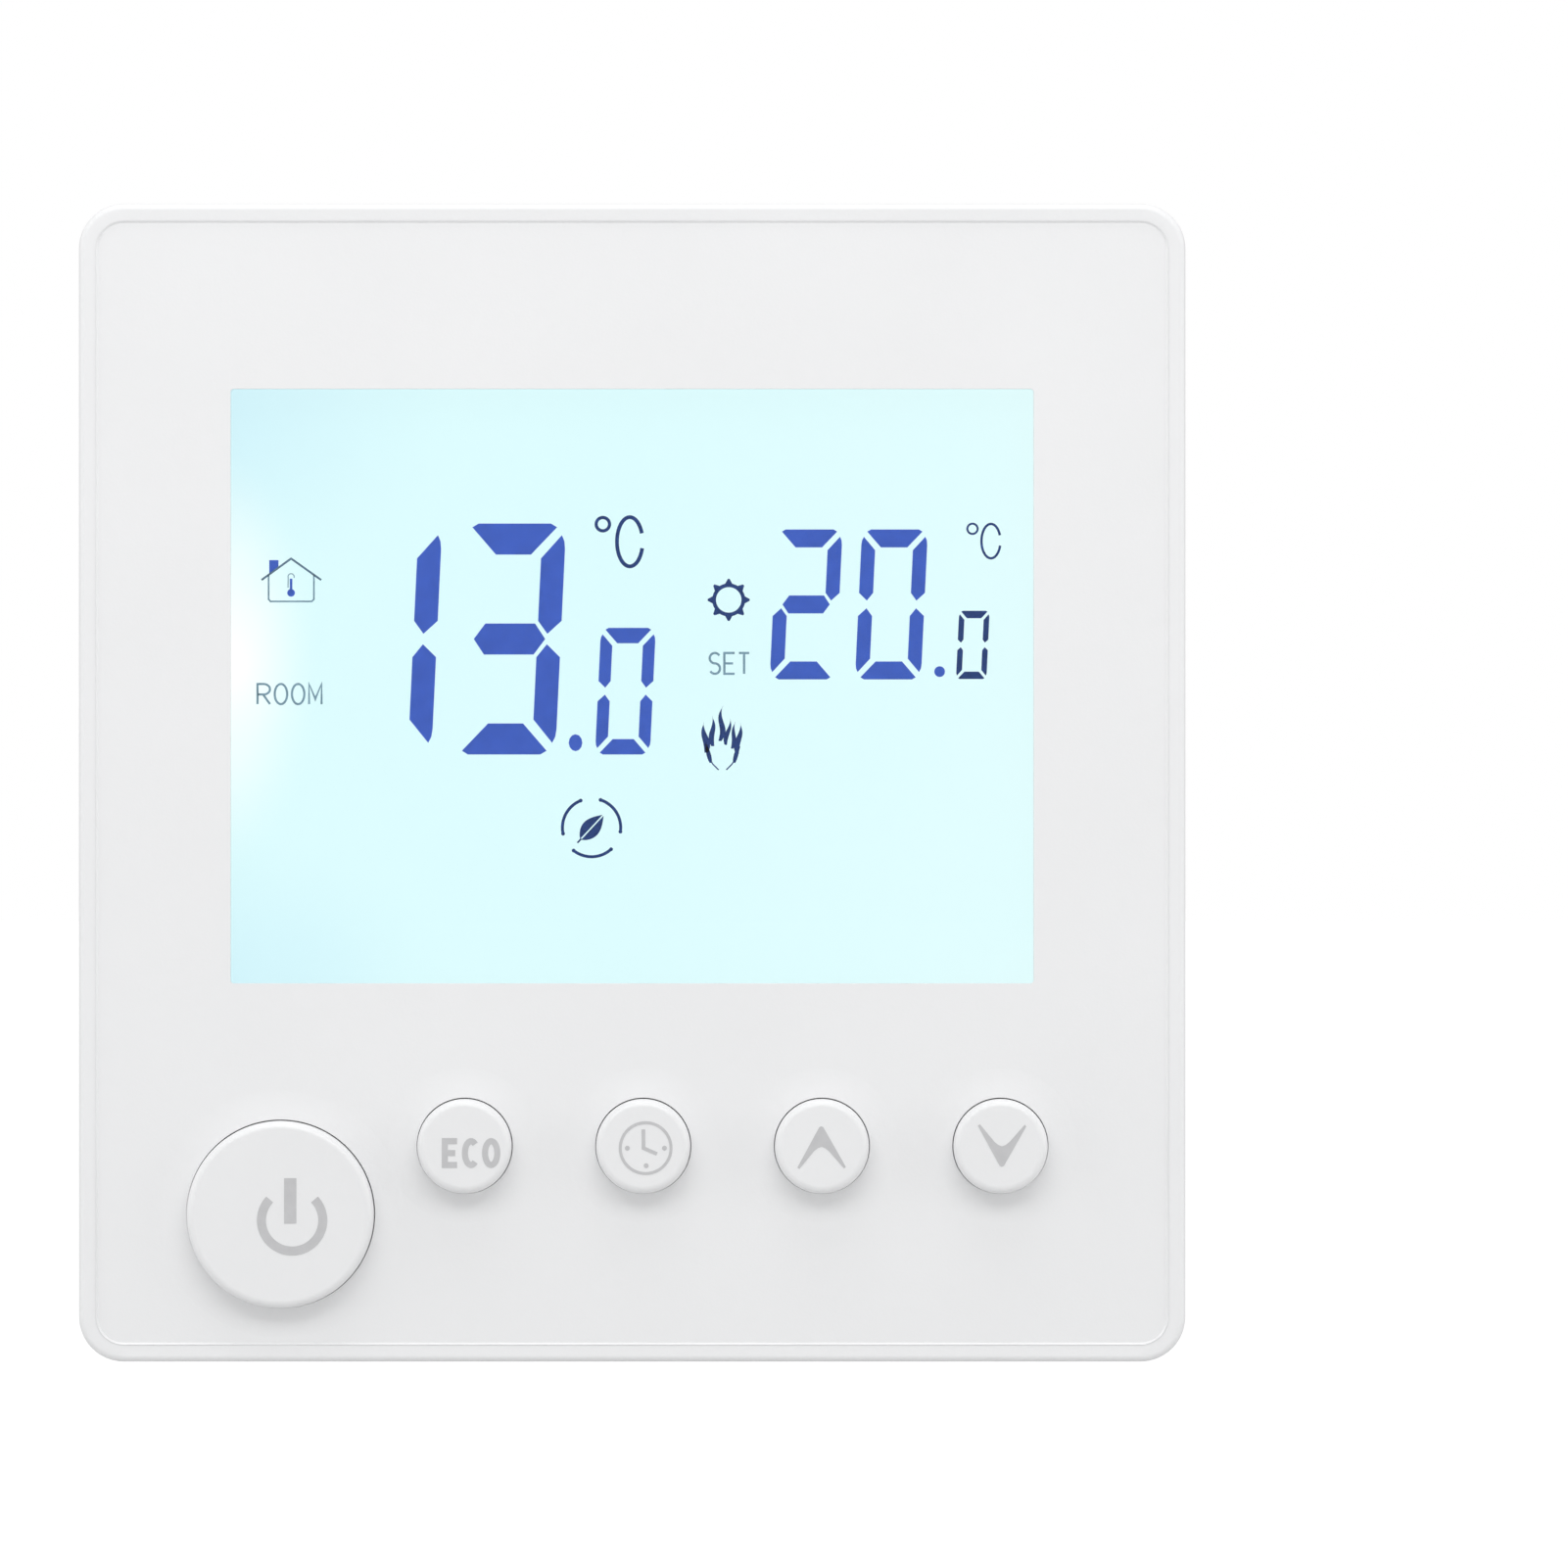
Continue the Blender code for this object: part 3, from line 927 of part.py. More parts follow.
def make_terminals():
    """The terminal block, and a captive screw and a rising clamp in each of its chambers."""
    block_half_x = TERMINAL_COUNT * TERMINAL_PITCH / 2 + TERMINAL_BLOCK_END
    form = bmesh.new()
    add_box(form, (-block_half_x, block_half_x), (BLOCK_FRONT_Y, BLOCK_BACK_Y),
            (-BOX_HALF_Z + REST_GAP, BAY_TOP_Z - REST_GAP))
    block = make_object("terminal_block", form, "terminal_green")

    chamber_front = BLOCK_FRONT_Y + CHAMBER_FLOOR
    clamp_front = chamber_front + REST_GAP
    clamp_height = CLAMP_BASE + WIRE_OPENING + CLAMP_TOP
    chamber_back = clamp_front + clamp_height + CLAMP_TRAVEL + REST_GAP
    head_seat = chamber_back + TERMINAL_SHOULDER
    wire_y = (clamp_front + CLAMP_BASE, clamp_front + CLAMP_BASE + WIRE_OPENING)
    chambers = bmesh.new()
    for x in TERMINAL_XS:
        add_box(chambers, (x - CHAMBER_WIDTH / 2, x + CHAMBER_WIDTH / 2), (chamber_front, chamber_back),
                (TERMINAL_Z - CHAMBER_LENGTH / 2, TERMINAL_Z + CHAMBER_LENGTH / 2))
    cut(block, chambers)
    entries = bmesh.new()
    shank_hole = TERMINAL_SCREW_RADIUS + REST_GAP
    head_hole = TERMINAL_HEAD_RADIUS + REST_GAP
    for x in TERMINAL_XS:
        add_box(entries, (x - WIRE_OPENING / 2, x + WIRE_OPENING / 2), wire_y,
                (-BOX_HALF_Z - OVERLAP, TERMINAL_Z - CHAMBER_LENGTH / 4))
        add_turned(entries, (x, TERMINAL_Z), [(shank_hole, chamber_back - OVERLAP),
                                              (shank_hole, head_seat - REST_GAP),
                                              (head_hole, head_seat - REST_GAP),
                                              (head_hole, BLOCK_BACK_Y + OVERLAP)],
                   TERMINAL_HOLE_STEPS)
    cut(block, entries)
    finish(block)

    tip_length = head_seat - wire_y[1] + REST_GAP
    profile = screw_profile(TERMINAL_HEAD_RADIUS, TERMINAL_HEAD_HEIGHT, TERMINAL_SCREW_RADIUS,
                            tip_length, TERMINAL_SCREW_RADIUS / 2, head_seat, -1)
    for index, x in enumerate(TERMINAL_XS):
        place = (x, TERMINAL_Z)
        make_screw(f"terminal_screw_{index + 1}", "steel", place, profile,
                   TERMINAL_DRIVER_SLOT_WIDTH, TERMINAL_DRIVER_SLOT_DEPTH)
        form = bmesh.new()
        add_box(form, (x - CLAMP_WIDTH / 2, x + CLAMP_WIDTH / 2),
                (clamp_front, clamp_front + clamp_height),
                (TERMINAL_Z - CLAMP_LENGTH / 2, TERMINAL_Z + CLAMP_LENGTH / 2))
        clamp = make_object(f"clamp_cage_{index + 1}", form, "steel", (x, clamp_front, TERMINAL_Z))
        opening = bmesh.new()
        add_box(opening, (x - CLAMP_WIDTH / 2 + CLAMP_SIDE, x + CLAMP_WIDTH / 2 - CLAMP_SIDE), wire_y,
                (TERMINAL_Z - CLAMP_LENGTH / 2 - OVERLAP, TERMINAL_Z + CLAMP_LENGTH / 2 + OVERLAP))
        cut(clamp, opening)
        thread = bmesh.new()
        add_turned(thread, place, [(shank_hole, wire_y[1] - OVERLAP),
                                   (shank_hole, clamp_front + clamp_height + OVERLAP)],
                   SCREW_STEPS)
        cut(clamp, thread)
        finish(clamp)


def main():
    clear_scene()
    front_unit = make_empty("front_unit_axis", (0.0, FACE_Y, 0.0))
    make_front_cover()
    make_display()
    make_main_board()
    for name, place, radius, turned_steps in BUTTONS:
        make_button(name, place, radius, turned_steps, front_unit)
    make_rear_housing()
    make_mounting_screws()
    make_power_board()
    make_terminals()


main()
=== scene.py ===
"""Wall thermostat: the visual model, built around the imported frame.

Metres, +Z up, +X to the right seen from the front, the front faces -Y. Each piece takes its
place from the frame's boxes; sizes that only the eye needs are named below.
"""

import json
import math

import bmesh
import bpy
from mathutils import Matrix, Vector

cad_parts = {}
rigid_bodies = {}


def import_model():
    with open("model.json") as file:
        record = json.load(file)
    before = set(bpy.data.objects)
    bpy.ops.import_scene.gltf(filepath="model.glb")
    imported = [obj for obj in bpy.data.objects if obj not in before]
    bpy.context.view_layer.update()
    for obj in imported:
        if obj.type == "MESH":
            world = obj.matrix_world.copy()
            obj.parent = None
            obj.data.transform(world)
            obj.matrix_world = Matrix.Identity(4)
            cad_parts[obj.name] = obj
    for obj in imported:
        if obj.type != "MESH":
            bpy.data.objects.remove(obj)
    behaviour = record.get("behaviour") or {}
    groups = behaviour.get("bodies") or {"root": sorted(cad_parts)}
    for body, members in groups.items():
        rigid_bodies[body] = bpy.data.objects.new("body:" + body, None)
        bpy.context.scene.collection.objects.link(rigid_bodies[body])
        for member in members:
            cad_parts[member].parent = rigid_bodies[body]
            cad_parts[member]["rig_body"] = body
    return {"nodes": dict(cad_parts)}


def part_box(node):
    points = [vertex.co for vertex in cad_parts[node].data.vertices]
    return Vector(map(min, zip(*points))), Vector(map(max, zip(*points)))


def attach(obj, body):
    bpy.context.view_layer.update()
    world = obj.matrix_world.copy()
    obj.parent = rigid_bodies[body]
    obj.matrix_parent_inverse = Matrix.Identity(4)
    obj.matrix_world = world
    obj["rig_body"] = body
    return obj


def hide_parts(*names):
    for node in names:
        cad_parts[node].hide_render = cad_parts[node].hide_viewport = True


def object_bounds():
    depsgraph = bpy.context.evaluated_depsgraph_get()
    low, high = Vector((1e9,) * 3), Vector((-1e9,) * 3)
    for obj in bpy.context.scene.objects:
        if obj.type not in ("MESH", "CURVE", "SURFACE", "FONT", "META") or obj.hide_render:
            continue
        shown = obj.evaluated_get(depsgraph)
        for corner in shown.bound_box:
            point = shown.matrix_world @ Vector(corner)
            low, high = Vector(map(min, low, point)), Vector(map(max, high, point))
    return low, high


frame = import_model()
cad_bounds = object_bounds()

MM = 0.001
OVERLAP = 1.0 * MM
SMOOTH_ANGLE = math.radians(32)
FLAT_ANGLE = math.radians(1)
BLOCK_SHORTEST_EDGE = 12.0 * MM
WELD_DISTANCE = 0.002 * MM
KEYS = ("power", "eco", "clock", "up", "down")
TERMINALS = range(1, 7)
BOARD_SCREWS = range(1, 5)

# Front cover
RIM_WIDTH = 1.38 * MM
FACE_DEPTH = 0.3 * MM
RIM_STEP = 0.15 * MM
RIM_WALL = 0.12 * MM
EDGE_FILLET = 0.5 * MM
RIM_FILLET = 0.05 * MM
CORNER_RADIUS = 3.5 * MM
WALL = 2.0 * MM
FACE_THICKNESS = 2.3 * MM
MOUTH_FILLET = 0.06 * MM
WINDOW_FILLET = 0.03 * MM
WINDOW_CORNER = 0.25 * MM
SWELL_WIDTH = 2.9 * MM
SWELL_HEIGHT = 0.24 * MM
SWELL_SINK = 0.01 * MM
SWELL_STEPS = 8
VENT_COUNT = 9
VENT_PITCH = 5.0 * MM
VENT_WIDTH = 1.6 * MM
VENT_LENGTH = 6.0 * MM
VENT_CORNER = 0.7 * MM
VENT_FLARE = 0.2 * MM
NOTCH_OFFSET = 30.0 * MM
NOTCH_WIDTH = 9.0 * MM
NOTCH_DEPTH = 1.5 * MM
NOTCH_CORNER = 0.6 * MM
BOSS_RADIUS = 2.3 * MM
BOSS_BORE = 1.4 * MM
COLLAR_GAP = 0.4 * MM
COLLAR_WALL = 0.7 * MM
COLLAR_HEIGHT = 2.6 * MM
BOARD_GAP = 0.3 * MM
BUTTON_GAP = 0.055 * MM

# Buttons
CAP_FLANGE = 0.9 * MM
CAP_FLANGE_THICKNESS = 0.8 * MM
CAP_FILLET = 0.6 * MM
CAP_STEM_RADIUS = 1.6 * MM
CAP_SAG = 0.02 * MM
CAP_STEPS = 128
INK_THICKNESS = 0.02 * MM
LAYER_STEP = 0.002 * MM

# Display
PANE_LIP = 1.8 * MM
PANE_LIP_THICKNESS = 1.0 * MM
PANE_GAP = 0.01 * MM
PANE_RAISE = 0.07 * MM
PANE_CHAMFER = 0.02 * MM
CONTACT_LEDGE = 2.4 * MM
MARK_GAP = 0.01 * MM
MARK_THICKNESS = 0.03 * MM
DIGIT_SLANT = 0.047
# Digits: width, height, upright and level segments' widths, gap
ROOM_DIGIT = (8.0 * MM, 18.0 * MM, 1.84 * MM, 2.42 * MM, 0.30 * MM)
ROOM_TENTH = (4.28 * MM, 9.87 * MM, 0.95 * MM, 1.20 * MM, 0.20 * MM)
TARGET_DIGIT = (5.14 * MM, 11.69 * MM, 1.10 * MM, 1.40 * MM, 0.22 * MM)
TARGET_TENTH = (2.38 * MM, 5.32 * MM, 0.44 * MM, 0.58 * MM, 0.13 * MM)
ROOM_POINT = (0.53 * MM, 0.66 * MM)
TARGET_POINT = (0.42 * MM, 0.42 * MM)
# Words: letter width, height, gap between letters, stroke
ECO_WORD = (1.42 * MM, 2.32 * MM, 0.14 * MM, 0.47 * MM)
ROOM_WORD = (1.14 * MM, 1.74 * MM, 0.20 * MM, 0.17 * MM)
SET_WORD = (0.98 * MM, 1.80 * MM, 0.16 * MM, 0.18 * MM)

# Screws: head radius, head height, shank radius
MOUNTING_SCREW = (3.4 * MM, 2.4 * MM, 2.0 * MM)
SMALL_SCREW = (2.0 * MM, 1.3 * MM, 1.1 * MM)
TERMINAL_SCREW = (1.9 * MM, 2.0 * MM, 1.45 * MM)
MOUNTING_PITCH = 0.7 * MM
THREAD_DEPTH = 0.55
CROWN_SHARE = 0.45
POINT_SHARE = 0.6
HEAD_CHAMFER = 0.1 * MM
SLOT_DEPTH = 0.42
SLOT_HALF = 0.12
CROSS_DEPTH = 0.62
SCREW_STEPS = 48
RINGS_PER_TURN = 9
PLAIN_RINGS = 4

# Main board
LEAD_PITCH = 0.8 * MM
LEAD_HALF = 0.16 * MM
TRACK_WIDTH = 0.28 * MM
TRACK_START = 0.6 * MM
STRAP_HALF = 1.5 * MM
CHIP_HALF = 0.62 * MM
# Rows of small parts: left x and z in mm, count, pitch in mm
CHIP_ROWS = ((-33.0, 30.0, 7, 3.2), (8.0, 26.0, 8, 3.2), (-34.0, -8.0, 6, 3.4), (20.0, -10.0, 5, 3.6),
             (-26.0, 16.0, 3, 4.0), (24.0, 12.0, 3, 3.6))

# Label
LABEL_CORNER = 1.0 * MM
RULE_INSET = 1.6 * MM
RULE_WIDTH = 0.25 * MM
TERMINAL_PITCH = 5.2 * MM

# Studio
SOFT_LIGHT = 0.55
OVERHEAD_LIGHT = 0.9
OVERHEAD_SPREAD = math.radians(40)
OVERHEAD_AIM = (0.0, 0.10, -1.0)
PANEL_LIGHT = 1.16
PANEL_PLACE = (0.0, -0.36, 0.30)
PANEL_SIZE = (0.60, 0.18)
SIDE_LIGHT = 0.42
SIDE_PLACE = (0.50, -0.12, 0.10)
SIDE_SIZE = 0.30
FLOOR_LIFT = 0.50
FLOOR_DROP = 0.03
FLOOR_REACH = 6.0

# Camera, level with the object and facing it
CAMERA_DISTANCE = 1.0
CAMERA_SENSOR = 36.0
VIEW_WIDTH = 121.8 * MM
VIEW_CENTRE = (11.8 * MM, -0.1 * MM)

# Colours, linear
ABS_WHITE = (0.765, 0.768, 0.775)
CAP_WHITE = (0.755, 0.758, 0.765)
INK_GREY = (0.50, 0.50, 0.51)
LCD_MIDDLE = (0.72, 0.975, 0.99)
LCD_CORNER = (0.63, 0.895, 0.965)
LCD_RIGHT = (0.765, 0.985, 0.99)
LCD_HOT = (1.10, 1.08, 1.05)
LCD_STRENGTH = 0.975
TOP_CORNER_REACH = (19.0 * MM, 17.0 * MM)
BOTTOM_CORNER_REACH = (18.0 * MM, 13.0 * MM)
HOT_REACH = (8.0 * MM, 17.0 * MM)
HOT_OUTSIDE = 1.0 * MM
HOT_BELOW_LAMP = 1.5 * MM
MARK_BLUE = (0.068, 0.155, 0.700)
MARK_NAVY = (0.030, 0.070, 0.250)
MARK_PALE = (0.26, 0.43, 0.54)
MARK_SLATE = (0.14, 0.24, 0.34)


# ---------------------------------------------------------------- materials

def new_material(name):
    """Return an empty node material with its shader, its node tree and its object coordinates."""
    material = bpy.data.materials.new(name)
    material.use_nodes = True
    tree = material.node_tree
    shader = tree.nodes["Principled BSDF"]
    coordinates = tree.nodes.new("ShaderNodeTexCoord").outputs["Object"]
    return material, tree, shader, coordinates


def add_noise(tree, coordinates, size, detail=3.0, stretch=None):
    """Add noise whose features are about size across, and return its value."""
    noise = tree.nodes.new("ShaderNodeTexNoise")
    noise.inputs["Scale"].default_value = 1.0 / size
    noise.inputs["Detail"].default_value = detail
    if stretch is None:
        tree.links.new(coordinates, noise.inputs["Vector"])
    else:
        mapping = tree.nodes.new("ShaderNodeMapping")
        mapping.inputs["Scale"].default_value = stretch
        tree.links.new(coordinates, mapping.inputs["Vector"])
        tree.links.new(mapping.outputs["Vector"], noise.inputs["Vector"])
    return noise.outputs["Fac"]


def add_range(tree, value, low, high, start=0.3, end=0.7):
    """Spread a value between start and end over low to high."""
    spread = tree.nodes.new("ShaderNodeMapRange")
    spread.inputs["From Min"].default_value = start
    spread.inputs["From Max"].default_value = end
    spread.inputs["To Min"].default_value = low
    spread.inputs["To Max"].default_value = high
    tree.links.new(value, spread.inputs["Value"])
    return spread.outputs["Result"]


def add_mix(tree, factor, first, second):
    """Mix two colours, either of which may be a socket."""
    mix = tree.nodes.new("ShaderNodeMix")
    mix.data_type = "RGBA"
    tree.links.new(factor, mix.inputs["Factor"])
    for value, socket in ((first, mix.inputs["A"]), (second, mix.inputs["B"])):
        if isinstance(value, tuple):
            socket.default_value = (*value, 1.0)
        else:
            tree.links.new(value, socket)
    return mix.outputs["Result"]


def add_bump(tree, shader, height, strength, distance):
    """Raise the surface by a height value."""
    bump = tree.nodes.new("ShaderNodeBump")
    bump.inputs["Strength"].default_value = strength
    bump.inputs["Distance"].default_value = distance
    tree.links.new(height, bump.inputs["Height"])
    tree.links.new(bump.outputs["Normal"], shader.inputs["Normal"])


def surface(name, colour, roughness, metallic, grain, relief, shade_depth, patch, gloss_spread,
            stretch=None, specular=0.5):
    """A material with a grain that you could feel and slow changes of shade and gloss."""
    material, tree, shader, coordinates = new_material(name)
    fine = add_noise(tree, coordinates, grain, 2.0, stretch)
    slow = add_noise(tree, coordinates, patch, 3.0)
    darker = tuple(value * (1.0 - shade_depth) for value in colour)
    tree.links.new(add_mix(tree, add_range(tree, slow, 0.0, 1.0), darker, colour),
                   shader.inputs["Base Color"])
    tree.links.new(add_range(tree, slow, roughness - gloss_spread, roughness + gloss_spread),
                   shader.inputs["Roughness"])
    shader.inputs["Metallic"].default_value = metallic
    shader.inputs["Specular IOR Level"].default_value = specular
    add_bump(tree, shader, fine, relief, grain * 0.25)
    return material


def iridescent_zinc(name):
    """Yellow passivated zinc: gold with pink and green patches."""
    material, tree, shader, coordinates = new_material(name)
    patches = add_noise(tree, coordinates, 1.1 * MM, 2.0)
    ramp = tree.nodes.new("ShaderNodeValToRGB")
    stops = ((0.30, (0.42, 0.50, 0.24)), (0.42, (0.78, 0.60, 0.26)), (0.52, (0.72, 0.42, 0.30)),
             (0.62, (0.66, 0.34, 0.38)), (0.72, (0.80, 0.66, 0.34)))
    while len(ramp.color_ramp.elements) < len(stops):
        ramp.color_ramp.elements.new(0.5)
    for element, (place, colour) in zip(ramp.color_ramp.elements, stops):
        element.position = place
        element.color = (*colour, 1.0)
    tree.links.new(patches, ramp.inputs["Fac"])
    tree.links.new(ramp.outputs["Color"], shader.inputs["Base Color"])
    tree.links.new(add_range(tree, patches, 0.22, 0.38), shader.inputs["Roughness"])
    shader.inputs["Metallic"].default_value = 1.0
    add_bump(tree, shader, add_noise(tree, coordinates, 0.15 * MM), 0.2, 0.03 * MM)
    return material


def clear_plastic(name):
    """The window pane: clear, with faint polishing marks."""
    material, tree, shader, coordinates = new_material(name)
    shader.inputs["Base Color"].default_value = (1.0, 1.0, 1.0, 1.0)
    shader.inputs["Transmission Weight"].default_value = 1.0
    shader.inputs["IOR"].default_value = 1.28
    slow = add_noise(tree, coordinates, 9.0 * MM)
    tree.links.new(add_range(tree, slow, 0.0, 0.02), shader.inputs["Roughness"])
    add_bump(tree, shader, slow, 0.02, 0.01 * MM)
    return material


def add_spot(tree, coordinates, centre, reach):
    """Return a value of one at a place on the glass that falls to zero at its reach."""
    offset = tree.nodes.new("ShaderNodeVectorMath")
    offset.operation = "SUBTRACT"
    offset.inputs[1].default_value = (centre[0], 0.0, centre[1])
    tree.links.new(coordinates, offset.inputs[0])
    scale = tree.nodes.new("ShaderNodeVectorMath")
    scale.operation = "MULTIPLY"
    scale.inputs[1].default_value = (1.0 / reach[0], 0.0, 1.0 / reach[1])
    tree.links.new(offset.outputs["Vector"], scale.inputs[0])
    length = tree.nodes.new("ShaderNodeVectorMath")
    length.operation = "LENGTH"
    tree.links.new(scale.outputs["Vector"], length.inputs[0])
    fade = tree.nodes.new("ShaderNodeMapRange")
    fade.interpolation_type = "SMOOTHSTEP"
    fade.inputs["From Min"].default_value = 0.0
    fade.inputs["From Max"].default_value = 1.0
    fade.inputs["To Min"].default_value = 1.0
    fade.inputs["To Max"].default_value = 0.0
    tree.links.new(length.outputs["Value"], fade.inputs["Value"])
    return fade.outputs["Result"]


def lit_glass(name, window):
    """The display glass, lit from its left edge: bluer corners there and a white spot at the lamp."""
    material, tree, shader, coordinates = new_material(name)
    left, right, bottom, top = window
    lamp_z = middle("backlight_led")[1]
    split = tree.nodes.new("ShaderNodeSeparateXYZ")
    tree.links.new(coordinates, split.inputs["Vector"])
    across = add_range(tree, split.outputs["X"], 0.0, 1.0, 0.0, right)
    colour = add_mix(tree, across, LCD_MIDDLE, LCD_RIGHT)
    for corner_z, reach in ((top, TOP_CORNER_REACH), (bottom, BOTTOM_CORNER_REACH)):
        spot = add_spot(tree, coordinates, (left, corner_z), reach)
        colour = add_mix(tree, spot, colour, LCD_CORNER)
    hot = add_spot(tree, coordinates, (left - HOT_OUTSIDE, lamp_z - HOT_BELOW_LAMP), HOT_REACH)
    colour = add_mix(tree, hot, colour, LCD_HOT)
    cloud = add_range(tree, add_noise(tree, coordinates, 14.0 * MM, 2.0), 0.0, 0.35)
    colour = add_mix(tree, cloud, colour, LCD_MIDDLE)
    tree.links.new(colour, shader.inputs["Emission Color"])
    shader.inputs["Emission Strength"].default_value = LCD_STRENGTH
    tree.links.new(add_mix(tree, cloud, (0.04, 0.055, 0.06), (0.05, 0.065, 0.07)),
                   shader.inputs["Base Color"])
    tree.links.new(add_range(tree, cloud, 0.25, 0.35), shader.inputs["Roughness"])
    shader.inputs["Specular IOR Level"].default_value = 0.1
    return material


# Each finish: name, colour, roughness, metallic, grain in mm, relief, shade, patch in mm, gloss spread
FINISHES = {
    "abs": ("moulded_white_abs", ABS_WHITE, 0.42, 0.0, 0.22, 0.10, 0.012, 18.0, 0.06),
    "cap": ("smooth_white_cap", CAP_WHITE, 0.34, 0.0, 0.30, 0.05, 0.012, 9.0, 0.06),
    "ink": ("grey_legend_ink", INK_GREY, 0.55, 0.0, 0.12, 0.15, 0.06, 0.8, 0.06),
    "mark_blue": ("display_blue", MARK_BLUE, 0.5, 0.0, 0.2, 0.05, 0.10, 1.5, 0.06),
    "mark_navy": ("display_navy", MARK_NAVY, 0.5, 0.0, 0.2, 0.05, 0.10, 1.5, 0.06),
    "mark_pale": ("display_pale", MARK_PALE, 0.5, 0.0, 0.2, 0.05, 0.10, 1.5, 0.06),
    "mark_slate": ("display_slate", MARK_SLATE, 0.5, 0.0, 0.2, 0.05, 0.10, 1.5, 0.06),
    "guide": ("light_guide_acrylic", (0.86, 0.93, 0.95), 0.25, 0.0, 0.5, 0.2, 0.06, 6.0, 0.06),
    "phosphor": ("lamp_phosphor", (0.90, 0.85, 0.45), 0.5, 0.0, 0.1, 0.15, 0.15, 0.8, 0.06),
    "holder": ("holder_white_plastic", (0.74, 0.74, 0.71), 0.5, 0.0, 0.3, 0.15, 0.05, 6.0, 0.06),
    "rubber": ("zebra_rubber", (0.06, 0.06, 0.065), 0.75, 0.0, 0.15, 0.4, 0.3, 1.0, 0.06),
    "board": ("green_solder_mask", (0.012, 0.15, 0.055), 0.32, 0.0, 0.35, 0.25, 0.35, 2.5, 0.10),
    "black": ("black_plastic", (0.022, 0.022, 0.024), 0.45, 0.0, 0.12, 0.3, 0.2, 1.5, 0.12),
    "switch": ("switch_plunger_plastic", (0.035, 0.035, 0.04), 0.38, 0.0, 0.12, 0.2, 0.2, 1.0, 0.06),
    "housing": ("housing_grey_abs", (0.70, 0.71, 0.72), 0.5, 0.0, 0.35, 0.3, 0.035, 12.0, 0.08),
    "terminal": ("terminal_green_nylon", (0.035, 0.24, 0.10), 0.48, 0.0, 0.3, 0.25, 0.12, 3.0, 0.06),
    "label": ("label_foil", (0.76, 0.77, 0.78), 0.42, 0.0, 0.2, 0.1, 0.03, 7.0, 0.06),
    "print": ("label_print", (0.05, 0.05, 0.055), 0.5, 0.0, 0.15, 0.15, 0.2, 1.0, 0.06),
    "steel": ("plated_steel", (0.60, 0.60, 0.61), 0.28, 1.0, 0.08, 0.25, 0.12, 1.0, 0.08),
    "nickel": ("nickel_plate", (0.68, 0.66, 0.61), 0.24, 1.0, 0.08, 0.2, 0.15, 1.2, 0.07),
    "solder": ("solder", (0.66, 0.66, 0.68), 0.32, 1.0, 0.2, 0.4, 0.15, 0.6, 0.06),
    "tan": ("ceramic_tan", (0.42, 0.30, 0.19), 0.5, 0.0, 0.1, 0.15, 0.15, 0.8, 0.06),
    "relay": ("relay_blue_plastic", (0.03, 0.12, 0.42), 0.4, 0.0, 0.25, 0.2, 0.12, 6.0, 0.06),
    "sleeve": ("capacitor_sleeve", (0.03, 0.035, 0.09), 0.36, 0.0, 0.4, 0.2, 0.25, 6.0, 0.06),
    "film": ("film_box_yellow", (0.72, 0.48, 0.05), 0.42, 0.0, 0.2, 0.15, 0.12, 6.0, 0.06),
    "varistor": ("varistor_lacquer", (0.04, 0.16, 0.48), 0.38, 0.0, 0.5, 0.4, 0.25, 1.5, 0.06),
    "ferrite": ("ferrite_core", (0.055, 0.055, 0.06), 0.6, 0.0, 0.2, 0.5, 0.3, 1.0, 0.06),
    "epoxy": ("epoxy_black", (0.014, 0.014, 0.016), 0.36, 0.0, 0.1, 0.35, 0.25, 1.0, 0.10),
    "track": ("covered_track", (0.02, 0.22, 0.085), 0.3, 0.0, 0.3, 0.15, 0.2, 2.0, 0.06),
    "floor": ("pale_floor", (0.68, 0.68, 0.68), 0.7, 0.0, 2.0, 0.05, 0.01, 60.0, 0.06),
}
FLAT_SHEEN = {"specular": 0.0}
SPECIAL = {"rubber": {"stretch": (8.0, 1.0, 1.0)}, "mark_blue": FLAT_SHEEN, "mark_navy": FLAT_SHEEN,
           "mark_pale": FLAT_SHEEN, "mark_slate": FLAT_SHEEN}


def make_materials(window):
    """Every finish by its short name."""
    materials = {"pane": clear_plastic("clear_window_plastic"), "zinc": iridescent_zinc("yellow_zinc"),
                 "glass": lit_glass("lit_display_glass", window)}
    for key, finish in FINISHES.items():
        name, colour, roughness, metallic, grain, relief, shade_depth, patch, gloss_spread = finish
        materials[key] = surface(name, colour, roughness, metallic, grain * MM, relief, shade_depth,
                                 patch * MM, gloss_spread, **SPECIAL.get(key, {}))
    return materials


# ---------------------------------------------------------------- shapes

def add_loft(form, rings):
    """Join rings of points into a solid, capped at both ends."""
    loops = [[form.verts.new(point) for point in ring] for ring in rings]
    faces = []
    for lower, upper in zip(loops, loops[1:]):
        for index in range(len(lower)):
            following = (index + 1) % len(lower)
            faces.append(form.faces.new((lower[index], lower[following], upper[following],
                                         upper[index])))
    faces.append(form.faces.new(list(reversed(loops[0]))))
    faces.append(form.faces.new(loops[-1]))
    bmesh.ops.recalc_face_normals(form, faces=faces)


def circle(centre, radius, y, steps):
    """Return points round an axis along Y."""
    turn = 2 * math.pi / steps
    return [(centre[0] + radius * math.cos(turn * step), y, centre[1] + radius * math.sin(turn * step))
            for step in range(steps)]


def add_turned(form, centre, profile, steps):
    """Add a solid turned round an axis along Y from (radius, y) pairs."""
    add_loft(form, [circle(centre, radius, y, steps) for radius, y in profile])


